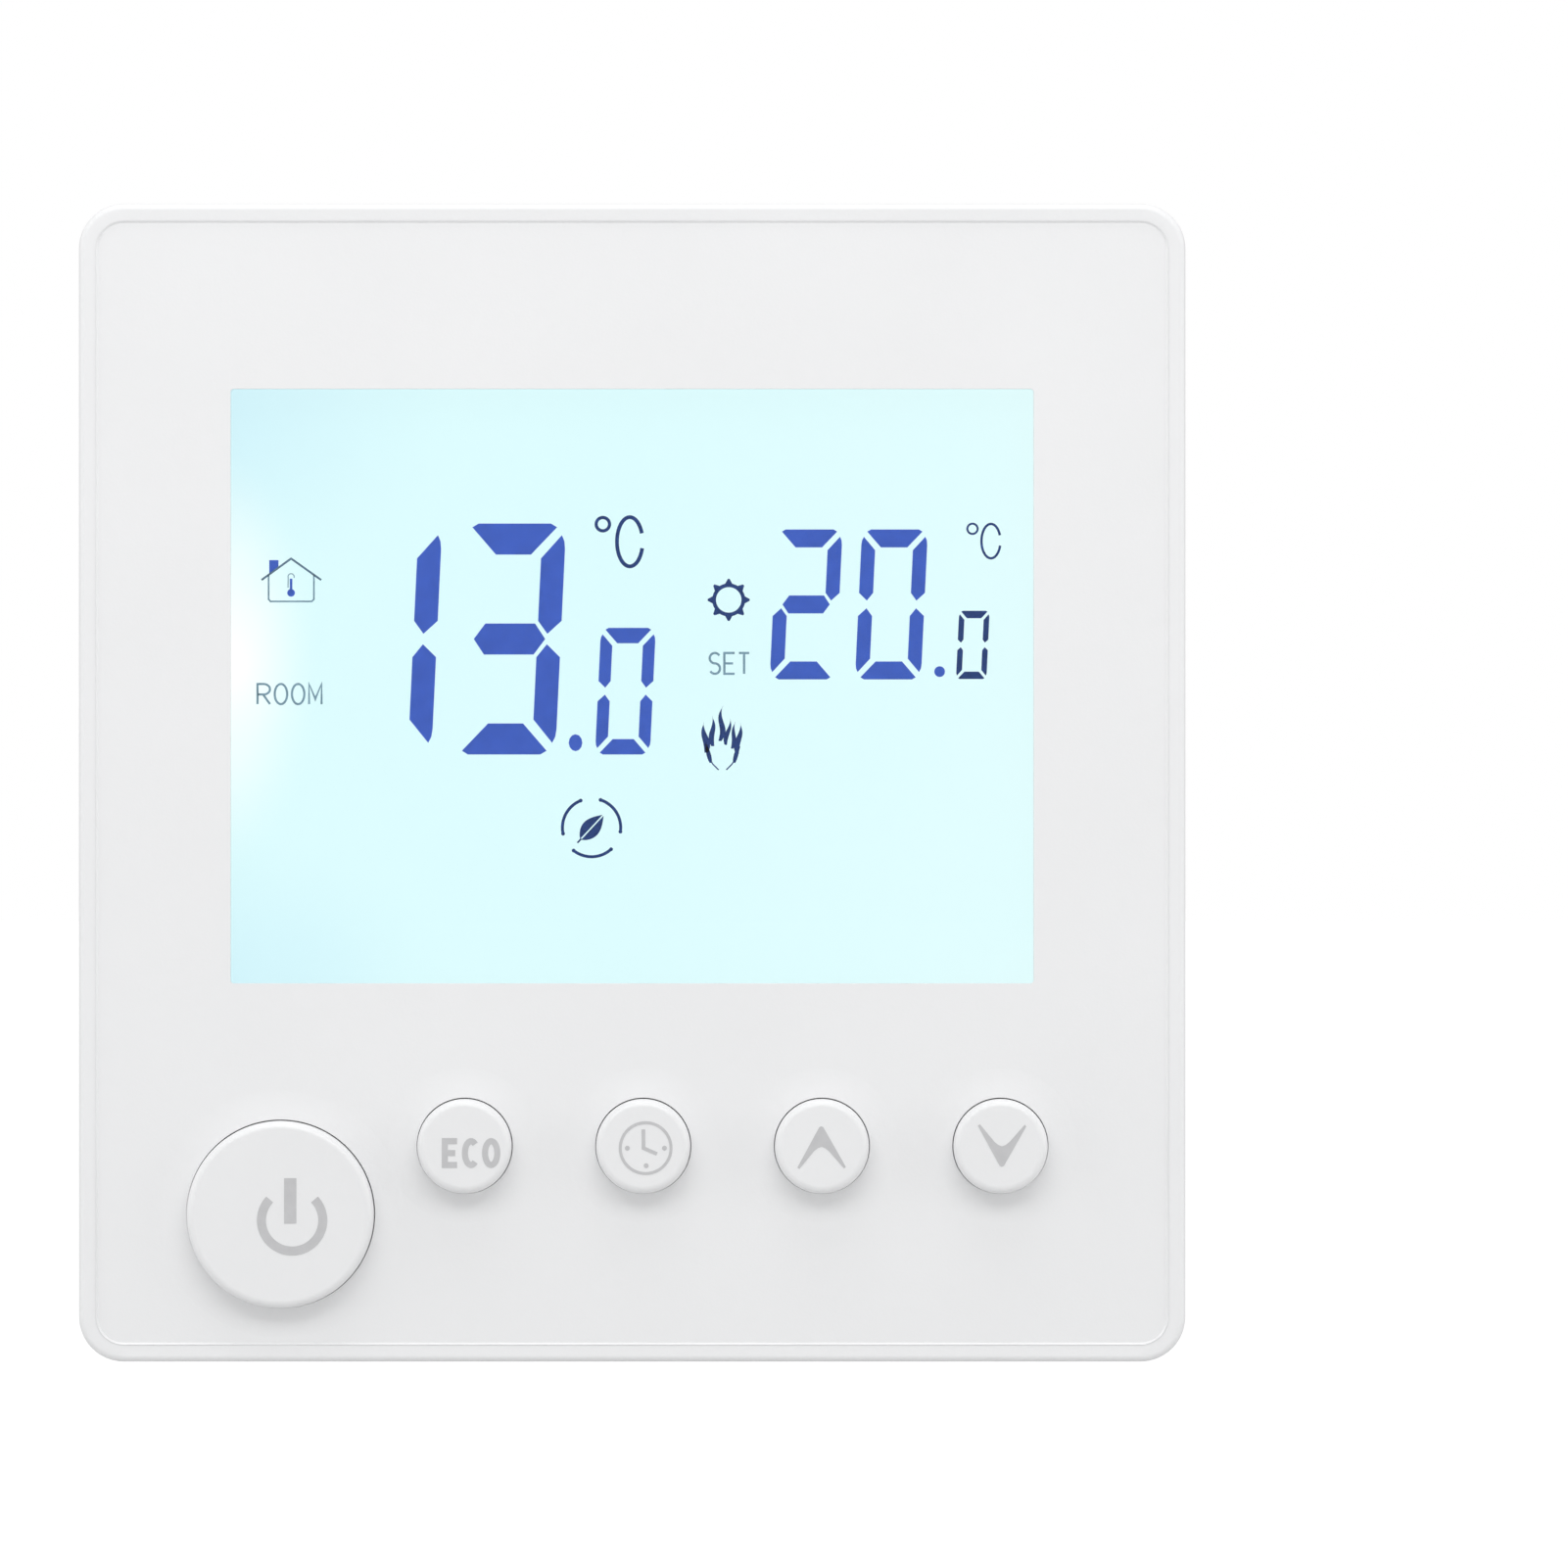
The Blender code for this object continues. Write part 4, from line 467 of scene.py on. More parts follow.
def rounded_outline(half_u, half_v, radius, steps=12, centre=(0.0, 0.0)):
    """Return a rounded rectangle as (u, v) points."""
    points = []
    for corner, (side_u, side_v) in enumerate(((1, 1), (-1, 1), (-1, -1), (1, -1))):
        for step in range(steps + 1):
            angle = math.radians(90 * (corner + step / steps))
            points.append((centre[0] + side_u * (half_u - radius) + radius * math.cos(angle),
                           centre[1] + side_v * (half_v - radius) + radius * math.sin(angle)))
    return points


def rounded_ring(half_x, half_z, radius, y, steps=12, centre=(0.0, 0.0)):
    """Return a rounded rectangle of points in a plane across Y."""
    return [(x, y, z) for x, z in rounded_outline(half_x, half_z, radius, steps, centre)]


def add_box(form, x_span, y_span, z_span):
    """Add a box between the two ends of each span."""
    corners = ((x_span[0], z_span[0]), (x_span[1], z_span[0]), (x_span[1], z_span[1]),
               (x_span[0], z_span[1]))
    add_loft(form, [[(x, y, z) for x, z in corners] for y in y_span])


def add_plate(form, outline, y_span):
    """Add a flat solid with an outline of (x, z) points."""
    add_loft(form, [[(x, y, z) for x, z in outline] for y in y_span])


def quarter(radius, steps=6):
    """Return (across, along) offsets of a quarter round, from the side to the top."""
    return [(radius * (1 - math.cos(math.radians(90 * step / steps))),
             radius * (1 - math.sin(math.radians(90 * step / steps)))) for step in range(steps + 1)]


def stroke(points, width, closed=False):
    """Return the left and right edges of a line of even width through (x, z) points."""
    pairs = []
    count = len(points)
    for index, point in enumerate(points):
        before = points[index - 1] if closed or index > 0 else None
        after = points[(index + 1) % count] if closed or index < count - 1 else None
        here = Vector(point)
        into = (here - Vector(before)).normalized() if before is not None else None
        away = (Vector(after) - here).normalized() if after is not None else None
        into = into or away
        away = away or into
        side_in = Vector((-into.y, into.x))
        side_out = Vector((-away.y, away.x))
        side = (side_in + side_out).normalized()
        reach = width / 2 / max(0.4, side.dot(side_out))
        pairs.append((here + side * reach, here - side * reach))
    return pairs


def add_band(form, pairs, y_span, closed=False):
    """Add a flat solid between pairs of edge points, such as a stroke's."""
    near, far = y_span
    sections = [[form.verts.new((edge.x, y, edge.y)) for edge, y in
                 ((left, near), (right, near), (right, far), (left, far))] for left, right in pairs]
    faces = []
    following = sections[1:] + sections[:1] if closed else sections[1:]
    for here, there in zip(sections, following):
        for index in range(4):
            step = (index + 1) % 4
            faces.append(form.faces.new((here[index], here[step], there[step], there[index])))
    if not closed:
        faces.append(form.faces.new(list(reversed(sections[0]))))
        faces.append(form.faces.new(sections[-1]))
    bmesh.ops.recalc_face_normals(form, faces=faces)


def arc(centre, radii, start, end, steps=24):
    """Return points along an ellipse's arc, angles in degrees."""
    points = []
    for step in range(steps + 1):
        angle = math.radians(start + (end - start) * step / steps)
        points.append((centre[0] + radii[0] * math.cos(angle), centre[1] + radii[1] * math.sin(angle)))
    return points


def add_disc(form, centre, radii, y_span, steps=32):
    """Add a flat round or oval solid."""
    add_plate(form, arc(centre, radii, 0, 360 - 360 / steps, steps - 1), y_span)


def add_ring(form, centre, radius, width, y_span, steps=64):
    """Add a flat ring of even width; radius is its middle's."""
    points = arc(centre, (radius, radius), 0, 360 - 360 / steps, steps - 1)
    add_band(form, stroke(points, width, True), y_span, True)


# ---------------------------------------------------------------- pieces

def make_piece(name, form, material, body, replaces=()):
    """Turn a bmesh into a piece that rides on a body and takes a finish."""
    mesh = bpy.data.meshes.new(name)
    form.to_mesh(mesh)
    form.free()
    piece = bpy.data.objects.new(name, mesh)
    bpy.context.scene.collection.objects.link(piece)
    piece.data.materials.append(material)
    shade(piece)
    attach(piece, body)
    if replaces:
        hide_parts(*replaces)
    return piece


def shade(piece):
    """Shade round faces smooth, keep sharp edges sharp and large flat faces flat."""
    piece.data.shade_smooth()
    piece.data.set_sharp_from_angle(angle=SMOOTH_ANGLE)
    if "normals" not in piece.modifiers:
        normals = piece.modifiers.new("normals", "WEIGHTED_NORMAL")
        normals.mode = "FACE_AREA"
        normals.weight = 100
        normals.keep_sharp = True


def settle(piece):
    """Make the result of a piece's modifiers its mesh."""
    bpy.context.view_layer.update()
    result = bpy.data.meshes.new_from_object(
        piece.evaluated_get(bpy.context.evaluated_depsgraph_get()))
    material = piece.data.materials[0]
    piece.modifiers.clear()
    piece.data = result
    piece.data.materials.clear()
    piece.data.materials.append(material)
    shade(piece)


def combine(piece, form, operation):
    """Cut or join a bmesh with a piece, and keep the result."""
    mesh = bpy.data.meshes.new("tool")
    form.to_mesh(mesh)
    form.free()
    tool = bpy.data.objects.new("tool", mesh)
    bpy.context.scene.collection.objects.link(tool)
    piece.modifiers.clear()
    modifier = piece.modifiers.new("shape", "BOOLEAN")
    modifier.operation = operation
    modifier.solver = "EXACT"
    modifier.object = tool
    settle(piece)
    bpy.data.objects.remove(tool, do_unlink=True)


def refine(node, material, slot, width, segments=2, shortest=0.0):
    """Replace a node with a copy whose edges are rounded.

    With a shortest length, only longer edges are rounded and every face is shaded flat.
    """
    form = bmesh.new()
    form.from_mesh(frame["nodes"][node].data)
    bmesh.ops.remove_doubles(form, verts=form.verts, dist=WELD_DISTANCE)
    bmesh.ops.dissolve_limit(form, angle_limit=FLAT_ANGLE, verts=form.verts, edges=form.edges)
    weights = form.edges.layers.float.new("bevel_weight_edge")
    for edge in form.edges:
        if edge.calc_face_angle(0.0) > SMOOTH_ANGLE and edge.calc_length() > shortest:
            edge[weights] = 1.0
    body = frame["nodes"][node]["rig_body"]
    piece = make_piece(f"{node}_body", form, material, body, (node,))
    piece.modifiers.clear()
    bevel = piece.modifiers.new("edges", "BEVEL")
    bevel.width = width
    bevel.segments = segments
    bevel.limit_method = "WEIGHT"
    bevel.use_clamp_overlap = True
    settle(piece)
    if shortest:
        piece.modifiers.clear()
        piece.data.shade_flat()


def refine_all(materials, rows):
    """Refine nodes given as rows of node, finish, slot, edge width in mm and segments if not two."""
    for node, finish, slot, width, *segments in rows:
        refine(node, materials[finish], slot, width * MM, *segments)


def middle(node):
    """Return the (x, z) centre of a node."""
    low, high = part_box(node)
    return ((low.x + high.x) / 2, (low.z + high.z) / 2)


# ---------------------------------------------------------------- front cover and buttons

def cap_radius(key):
    """Return a cap's radius, which is its flange's less the flange's reach."""
    low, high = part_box(f"{key}_button")
    return (high.x - low.x) / 2 - CAP_FLANGE


def flared(level_in, level_out, flare):
    """Return (grow, level) pairs of a hole that flares with a round lip at level_out."""
    outward = 1 if level_out > level_in else -1
    lip = [(across, level_out - outward * along) for across, along in quarter(flare, 4)]
    return [(0.0, level_in)] + lip + [(flare, level_out + outward * OVERLAP)]


def make_cover(materials):
    """The moulded shell with its raised rim, window, button mouths, collars, bosses and vents."""
    low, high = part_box("front_cover")
    half_x, half_z = high.x, high.z
    back_y = high.y
    face_y = low.y + FACE_DEPTH
    rim_y = face_y - RIM_STEP
    face_back_y = face_y + FACE_THICKNESS
    profile = [(0.0, back_y)]
    profile += [(across, rim_y + along) for across, along in quarter(EDGE_FILLET, 10)]
    profile += [(RIM_WIDTH - along, rim_y + across)
                for across, along in reversed(quarter(RIM_FILLET, 4))]
    profile += [(RIM_WIDTH + RIM_WALL, face_y)]
    form = bmesh.new()
    add_loft(form, [rounded_ring(half_x - inset, half_z - inset, CORNER_RADIUS - inset, y, 16)
                    for inset, y in profile])
    cover = make_piece("front_cover_shell", form, materials["abs"], "front_unit",
                       ("front_cover",))

    cavity = bmesh.new()
    add_loft(cavity, [rounded_ring(half_x - WALL, half_z - WALL, CORNER_RADIUS - WALL, y, 8)
                      for y in (face_back_y, back_y + OVERLAP)])
    combine(cover, cavity, "DIFFERENCE")

    supports = bmesh.new()
    board_front_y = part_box("main_board")[0].y
    screws = [middle(f"board_screw_{index}") for index in BOARD_SCREWS]
    for place in screws:
        add_turned(supports, place, [(BOSS_RADIUS, face_back_y - OVERLAP),
                                     (BOSS_RADIUS, board_front_y - BOARD_GAP)], 32)
    for key in KEYS:
        outer = cap_radius(key) + CAP_FLANGE + COLLAR_GAP + COLLAR_WALL
        add_turned(supports, middle(f"{key}_button"), [(outer, face_back_y - OVERLAP),
                                                       (outer, face_back_y + COLLAR_HEIGHT)], 96)
    combine(cover, supports, "UNION")
    for key in KEYS:
        combine(cover, swell(key, face_y), "UNION")

    holes = bmesh.new()
    left, right, bottom, top = window_box()
    centre = ((left + right) / 2, (bottom + top) / 2)
    mouth = [(0.0, face_back_y + OVERLAP)] + flared(face_back_y, face_y, WINDOW_FILLET)[1:]
    add_loft(holes, [rounded_ring((right - left) / 2 + grow, (top - bottom) / 2 + grow,
                                  WINDOW_CORNER + grow, y, 6, centre)
                     for grow, y in mouth])
    for place in screws:
        add_turned(holes, place, [(BOSS_BORE, face_back_y + BOARD_GAP), (BOSS_BORE, 0.0)], 24)
    for key in KEYS:
        radius = cap_radius(key)
        guide = radius + CAP_FLANGE + COLLAR_GAP
        mouth = flared(face_back_y, face_y - SWELL_HEIGHT, MOUTH_FILLET)
        mouth = [(radius + BUTTON_GAP + grow, y) for grow, y in reversed(mouth)]
        add_turned(holes, middle(f"{key}_button"),
                   mouth + [(guide, face_back_y), (guide, face_back_y + COLLAR_HEIGHT + OVERLAP)],
                   CAP_STEPS)
    vent_y = back_y - OVERLAP - VENT_LENGTH / 2
    for index in range(VENT_COUNT):
        centre = ((index - (VENT_COUNT - 1) / 2) * VENT_PITCH, vent_y)
        for side in (-1, 1):
            levels = flared(side * (half_z - WALL - OVERLAP / 2), side * half_z, VENT_FLARE)
            add_loft(holes, [lying_slot(centre, VENT_WIDTH / 2 + grow, VENT_LENGTH / 2 + grow,
                                        VENT_CORNER + grow, level) for grow, level in levels])
    for side in (-1, 1):
        add_loft(holes, [lying_slot((side * NOTCH_OFFSET, back_y), NOTCH_WIDTH / 2, NOTCH_DEPTH,
                                    NOTCH_CORNER, level)
                         for level in (-half_z - OVERLAP, -half_z + WALL + OVERLAP / 2)])
    combine(cover, holes, "DIFFERENCE")


def lying_slot(centre, half_x, half_y, radius, level):
    """Return a rounded rectangle of points in a level plane."""
    return [(x, y, level) for x, y in rounded_outline(half_x, half_y, radius, 6, centre)]


def swell(key, face_y):
    """Return the low swelling of the face that runs up to a button's mouth."""
    form = bmesh.new()
    radius = cap_radius(key) + BUTTON_GAP
    profile = [(radius - BUTTON_GAP, face_y - SWELL_HEIGHT)]
    for step in range(SWELL_STEPS + 1):
        share = step / SWELL_STEPS
        profile.append((radius + share * SWELL_WIDTH,
                        face_y + SWELL_SINK - (SWELL_HEIGHT + SWELL_SINK) * (1 - share) ** 2))
    profile.append((radius + SWELL_WIDTH, face_y + OVERLAP))
    add_turned(form, middle(f"{key}_button"), profile, CAP_STEPS)
    return form


def window_box():
    """Return the window's left, right, bottom and top: the pane's box less its lip."""
    low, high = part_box("display_window")
    return (low.x + PANE_LIP, high.x - PANE_LIP, low.z + PANE_LIP, high.z - PANE_LIP)


def make_caps(materials):
    """The five caps, each with a round edge, a retaining flange and a stem."""
    for key in KEYS:
        low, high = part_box(f"{key}_button")
        flange_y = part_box("front_cover")[0].y + FACE_DEPTH + FACE_THICKNESS + BOARD_GAP
        radius = cap_radius(key)
        dome = [(radius - across, low.y + along) for across, along in quarter(CAP_FILLET, 10)]
        profile = [(CAP_STEM_RADIUS, high.y), (CAP_STEM_RADIUS, flange_y + CAP_FLANGE_THICKNESS),
                   (radius + CAP_FLANGE, flange_y + CAP_FLANGE_THICKNESS),
                   (radius + CAP_FLANGE, flange_y), (radius, flange_y)] + dome
        form = bmesh.new()
        add_turned(form, cap_place(key), profile, CAP_STEPS)
        make_piece(f"{key}_cap", form, materials["cap"], f"{key}_key",
                   (f"{key}_button",))


def cap_place(key):
    """Return a cap's centre: it hangs a little low in its mouth."""
    x, z = middle(f"{key}_button")
    return (x, z - CAP_SAG)


def ink_span(key):
    """Return the depths of a cap's printed legend."""
    front_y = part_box(f"{key}_button")[0].y
    return (front_y - INK_THICKNESS, front_y + INK_THICKNESS)


def letter_strokes(letter, width, height):
    """Return a plain letter's centre lines, from its lower left corner, each with whether it closes."""
    half_u, half_v = width / 2, height / 2
    centre = (half_u, half_v)
    if letter == "E":
        return [([(width, height), (0, height), (0, 0), (width, 0)], False),
                ([(0, half_v), (0.85 * width, half_v)], False)]
    if letter == "T":
        return [([(0, height), (width, height)], False), ([(half_u, height), (half_u, 0)], False)]
    if letter == "C":
        return [(arc(centre, (half_u, half_v), 48, 312), False)]
    if letter == "O":
        return [(arc(centre, (half_u, half_v), 0, 350, 35), True)]
    if letter == "S":
        top = arc((half_u, 0.75 * height), (half_u, height / 4), 30, 270, 16)
        bottom = arc((half_u, 0.25 * height), (half_u, height / 4), 90, -150, 16)
        return [(top + bottom[1:], False)]
    if letter == "R":
        bowl = arc((0.5 * width, 0.74 * height), (half_u, 0.26 * height), 90, -90, 12)
        return [([(0, 0), (0, height)] + bowl + [(0, 0.48 * height)], False),
                ([(0.45 * width, 0.48 * height), (width, 0)], False)]
    return [([(0, 0), (0, height), (half_u, 0.25 * height), (width, height), (width, 0)], False)]


def add_word(form, word, corner, style, y_span):
    """Add a word in plain strokes, from its lower left corner; crossing strokes differ in depth."""
    letter_width, height, gap, weight = style
    for index, letter in enumerate(word):
        left = corner[0] + index * (letter_width + gap) + weight / 2
        lines = letter_strokes(letter, letter_width - weight, height - weight)
        for layer, (points, closed) in enumerate(lines):
            placed = [(left + u, corner[1] + weight / 2 + v) for u, v in points]
            add_band(form, stroke(placed, weight, closed), layered(y_span, layer), closed)


def layered(y_span, layer):
    """Return a span set back a little, so that crossing marks share no face."""
    return (y_span[0] + layer * LAYER_STEP, y_span[1] - layer * LAYER_STEP)


def make_legends(materials):
    """The grey function marks printed on the caps, a little right of their centres."""
    legends = {key: bmesh.new() for key in KEYS}
    spans = {key: ink_span(key) for key in KEYS}
    places = {key: cap_place(key) for key in KEYS}

    form, span = legends["power"], spans["power"]
    x, z = places["power"][0] + 0.95 * MM, places["power"][1] - 0.42 * MM
    add_band(form, stroke(arc((x, z), (2.38 * MM, 2.38 * MM), 137, 403, 48), 0.70 * MM), span)
    add_box(form, (x - 0.62 * MM, x + 0.33 * MM), span, (z - 0.25 * MM, z + 3.27 * MM))

    x, z = places["eco"]
    add_word(legends["eco"], "ECO", (x - 1.74 * MM, z - 1.66 * MM), ECO_WORD, spans["eco"])

    form, span = legends["clock"], spans["clock"]
    x, z = places["clock"][0] + 0.20 * MM, places["clock"][1] - 0.12 * MM
    add_ring(form, (x, z), 1.97 * MM, 0.23 * MM, span)
    hub = (x - 0.16 * MM, z)
    hands = [(hub[0] - 0.02 * MM, hub[1] + 1.45 * MM), hub, (hub[0] + 1.04 * MM, hub[1] - 0.45 * MM)]
    add_band(form, stroke(hands, 0.28 * MM), span)
    for dot_x, dot_z in ((-1.42 * MM, 0.0), (1.46 * MM, 0.0), (0.04 * MM, -1.36 * MM)):
        add_disc(form, (x + dot_x, z + dot_z), (0.19 * MM, 0.19 * MM), span)

    for key, sign, shift in (("up", 1, -0.05 * MM), ("down", -1, 0.08 * MM)):
        x, z = places[key][0] + shift, places[key][1]
        outline = [(-1.85, -1.62), (-0.16, 1.50), (0.0, 1.58), (0.16, 1.50), (1.90, -1.56), (1.78, -1.70),
                   (0.62, -0.38), (0.30, -0.12), (0.02, -0.02), (-0.26, -0.12), (-0.58, -0.38),
                   (-1.70, -1.74)]
        placed = [(x + u * MM, z + sign * v * MM) for u, v in outline]
        add_plate(legends[key], placed, spans[key])

    for key in KEYS:
        make_piece(f"{key}_legend", legends[key], materials["ink"], f"{key}_key")


# ---------------------------------------------------------------- display

def make_display(materials):
    """The pane, the lit glass and what stands behind it."""
    low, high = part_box("display_window")
    left, right, bottom, top = window_box()
    centre = ((left + right) / 2, (bottom + top) / 2)
    half_x, half_z = (right - left) / 2 - PANE_GAP, (top - bottom) / 2 - PANE_GAP
    lip_y = high.y - PANE_LIP_THICKNESS
    front_y = low.y - PANE_RAISE
    rings = [(-PANE_CHAMFER, front_y), (0.0, front_y + PANE_CHAMFER), (0.0, lip_y),
             (PANE_LIP, lip_y), (PANE_LIP, high.y)]
    form = bmesh.new()
    add_loft(form, [rounded_ring(half_x + grow, half_z + grow, WINDOW_CORNER, y, 6, centre)
                    for grow, y in rings])
    make_piece("window_pane", form, materials["pane"], "front_unit",
               ("display_window",))

    low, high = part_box("lcd_glass")
    form = bmesh.new()
    sheet = (high.y - low.y) / 2
    add_box(form, (low.x, high.x), (low.y, low.y + sheet), (low.z + CONTACT_LEDGE, high.z))
    add_box(form, (low.x, high.x), (low.y + sheet, high.y), (low.z, high.z))
    make_piece("display_cell", form, materials["glass"], "front_unit", ("lcd_glass",))

    refine_all(materials, (("light_guide", "guide", "light_guide", 0.1),
                           ("backlight_led", "phosphor", "led_white", 0.15),
                           ("zebra_strip", "rubber", "rubber_grey", 0.1),
                           ("lcd_holder", "holder", "holder_white", 0.2)))


def mark_span():
    """Return the depths of the display's marks, just in front of its glass."""
    back_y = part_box("lcd_glass")[0].y - MARK_GAP
    return (back_y - MARK_THICKNESS, back_y)


def segment_outlines(width, height, upright, bar, gap):
    """Return the seven segments' outlines, a to g, before the slant."""
    inset = 0.38 * upright
    lean = 0.80 * bar
    cap = 0.12 * bar
    tip_end = 0.25 * bar + gap
    tip_middle = 1.35 * gap
    shoulder = tip_middle + 0.55 * upright
    mitre = bar + gap
    middle_v = height / 2
    top = [(inset, height - cap), (inset + 0.2 * bar, height), (width - inset - 0.2 * bar, height),
           (width - inset, height - cap), (width - inset - lean, height - bar),
           (inset + lean, height - bar)]
    right = [(width - 0.16 * upright, height - tip_end),
             (width - 0.04 * upright, height - tip_end - 0.2 * bar),
             (width, height - tip_end - 0.45 * bar), (width, middle_v + shoulder),
             (width - 0.58 * upright, middle_v + tip_middle), (width - upright, middle_v + shoulder),
             (width - upright, height - mitre)]
    reach = 0.66 * upright
    end = 0.35 * bar
    bridge = [(reach, middle_v), (reach + end, middle_v + bar / 2),
              (width - reach - end, middle_v + bar / 2),
              (width - reach, middle_v), (width - reach - end, middle_v - bar / 2),
              (reach + end, middle_v - bar / 2)]
    lower_right = [(u, height - v) for u, v in right]
    return {"a": top, "b": right, "c": lower_right, "d": [(u, height - v) for u, v in top],
            "e": [(width - u, v) for u, v in lower_right], "f": [(width - u, v) for u, v in right],
            "g": bridge}


DIGIT_SEGMENTS = {"0": "abcdef", "1": "bc", "2": "abged", "3": "abgcd"}


def add_digit(form, digit, corner, style, y_span):
    """Add a slanted seven-segment digit."""
    outlines = segment_outlines(*style)
    for name in DIGIT_SEGMENTS[digit]:
        placed = [(corner[0] + u + DIGIT_SLANT * v, corner[1] + v) for u, v in outlines[name]]
        add_plate(form, placed, y_span)


def add_celsius(form, ring_centre, ring_radius, c_centre, c_radii, weight, y_span):
    """Add a degree ring and a tall C."""
    add_ring(form, ring_centre, ring_radius, 0.85 * weight, y_span, 40)
    add_band(form, stroke(arc(c_centre, c_radii, 20, 345, 40), weight), y_span)


def make_marks(materials):
    """What the display shows: two temperatures and their small signs."""
    span = mark_span()
    left, right, bottom, top = window_box()

    def at(across, up):
        return ((left + right) / 2 + across * MM, (bottom + top) / 2 + up * MM)

    room = bmesh.new()
    for digit, across in (("1", -23.68), ("3", -14.02)):
        add_digit(room, digit, at(across, -5.30), ROOM_DIGIT, span)
    add_disc(room, at(-4.45, -4.38), ROOM_POINT, span, 12)
    add_digit(room, "0", at(-2.93, -5.30), ROOM_TENTH, span)
    make_piece("room_temperature_marks", room, materials["mark_blue"], "front_unit")

    target = bmesh.new()
    for digit, across in (("2", 10.68), ("0", 17.33)):
        add_digit(target, digit, at(across, 0.55), TARGET_DIGIT, span)
    add_disc(target, at(23.93, 1.16), TARGET_POINT, span, 16)
    make_piece("target_temperature_marks", target, materials["mark_blue"], "front_unit")

    navy = bmesh.new()
    add_digit(navy, "0", at(25.20, 0.58), TARGET_TENTH, span)
    add_celsius(navy, at(-2.32, 12.65), 0.52 * MM, at(-0.22, 11.28), (1.0 * MM, 1.92 * MM), 0.30 * MM,
                span)
    add_celsius(navy, at(26.49, 12.29), 0.40 * MM, at(27.93, 11.33), (0.74 * MM, 1.34 * MM), 0.19 * MM,
                span)
    add_gear(navy, at(7.49, 6.75), span)
    add_flame(navy, at(7.0, -4.05), span)
    add_leaf_sign(navy, at(-3.20, -11.0), span)
    make_piece("fine_marks", navy, materials["mark_navy"], "front_unit")

    pale = bmesh.new()
    add_word(pale, "ROOM", at(-29.32, -1.46), ROOM_WORD, span)
    add_word(pale, "SET", at(5.92, 0.90), SET_WORD, span)
    make_piece("word_marks", pale, materials["mark_pale"], "front_unit")
    make_house_sign(materials, at(-26.62, 8.25), span)


def add_gear(form, centre, y_span):
    """A ring with eight pointed teeth."""
    ring, tip, half_base = 1.14 * MM, 1.64 * MM, 0.30 * MM
    add_ring(form, centre, ring, 0.30 * MM, y_span, 64)
    for index in range(8):
        angle = math.radians(45 * index)
        along = Vector((math.cos(angle), math.sin(angle)))
        side = Vector((-along.y, along.x))
        base = Vector(centre) + along * (ring + 0.08 * MM)
        end = Vector(centre) + along * tip
        corners = [base - side * half_base, end - side * 0.07 * MM, end + side * 0.07 * MM,
                   base + side * half_base]
        add_plate(form, [tuple(corner) for corner in corners], layered(y_span, 1))


def add_tongue(form, foot, tip, width, sway, y_span, steps=14):
    """A flame's tongue: thickest a third of the way up, bending to one side and ending in a point."""
    foot, tip = Vector(foot), Vector(tip)
    along = tip - foot
    side = Vector((along.y, -along.x)).normalized()
    pairs = []
    for step in range(steps + 1):
        share = step / steps
        thick = width * math.sin(math.pi * min(1.0, 0.12 + 0.95 * share)) ** 0.8 * (1 - 0.35 * share)
        line = foot + along * share + side * sway * math.sin(2 * math.pi * share)
        pairs.append((line - side * max(thick, 0.015 * MM) / 2, line + side * max(thick, 0.015 * MM) / 2))
    add_band(form, pairs, y_span)


def add_flame(form, centre, y_span):
    """Tongues that rise from a curved bed, one near the middle the tallest."""
    tongues = ((-1.25, -1.1, -1.45, 1.25, 0.62, 0.10), (-0.75, -0.6, -0.80, 1.75, 0.50, -0.10),
               (-0.20, -0.2, 0.05, 2.55, 0.52, 0.16), (0.25, -0.5, 0.62, 1.55, 0.42, -0.08),
               (0.75, -0.8, 1.00, 1.30, 0.40, 0.08), (1.15, -1.2, 1.40, 1.20, 0.55, -0.10))
    for layer, (foot_x, foot_z, tip_x, tip_z, width, sway) in enumerate(tongues):
        add_tongue(form, (centre[0] + foot_x * MM, centre[1] + foot_z * MM),
                   (centre[0] + tip_x * MM, centre[1] + tip_z * MM), width * MM, sway * MM,
                   layered(y_span, layer % 4))
    for side in (-1, 1):
        points = [(centre[0] + side * across * MM, centre[1] + up * MM)
                  for across, up in ((1.35, -0.6), (1.15, -1.35), (0.75, -2.0), (0.30, -2.45))]
        add_band(form, stroke(points, 0.10 * MM), layered(y_span, 4))
        add_tongue(form, (centre[0] + side * 0.9 * MM, centre[1] - 1.9 * MM),
                   (centre[0] + side * 1.35 * MM, centre[1] - 0.2 * MM), 0.40 * MM, 0.0, y_span)


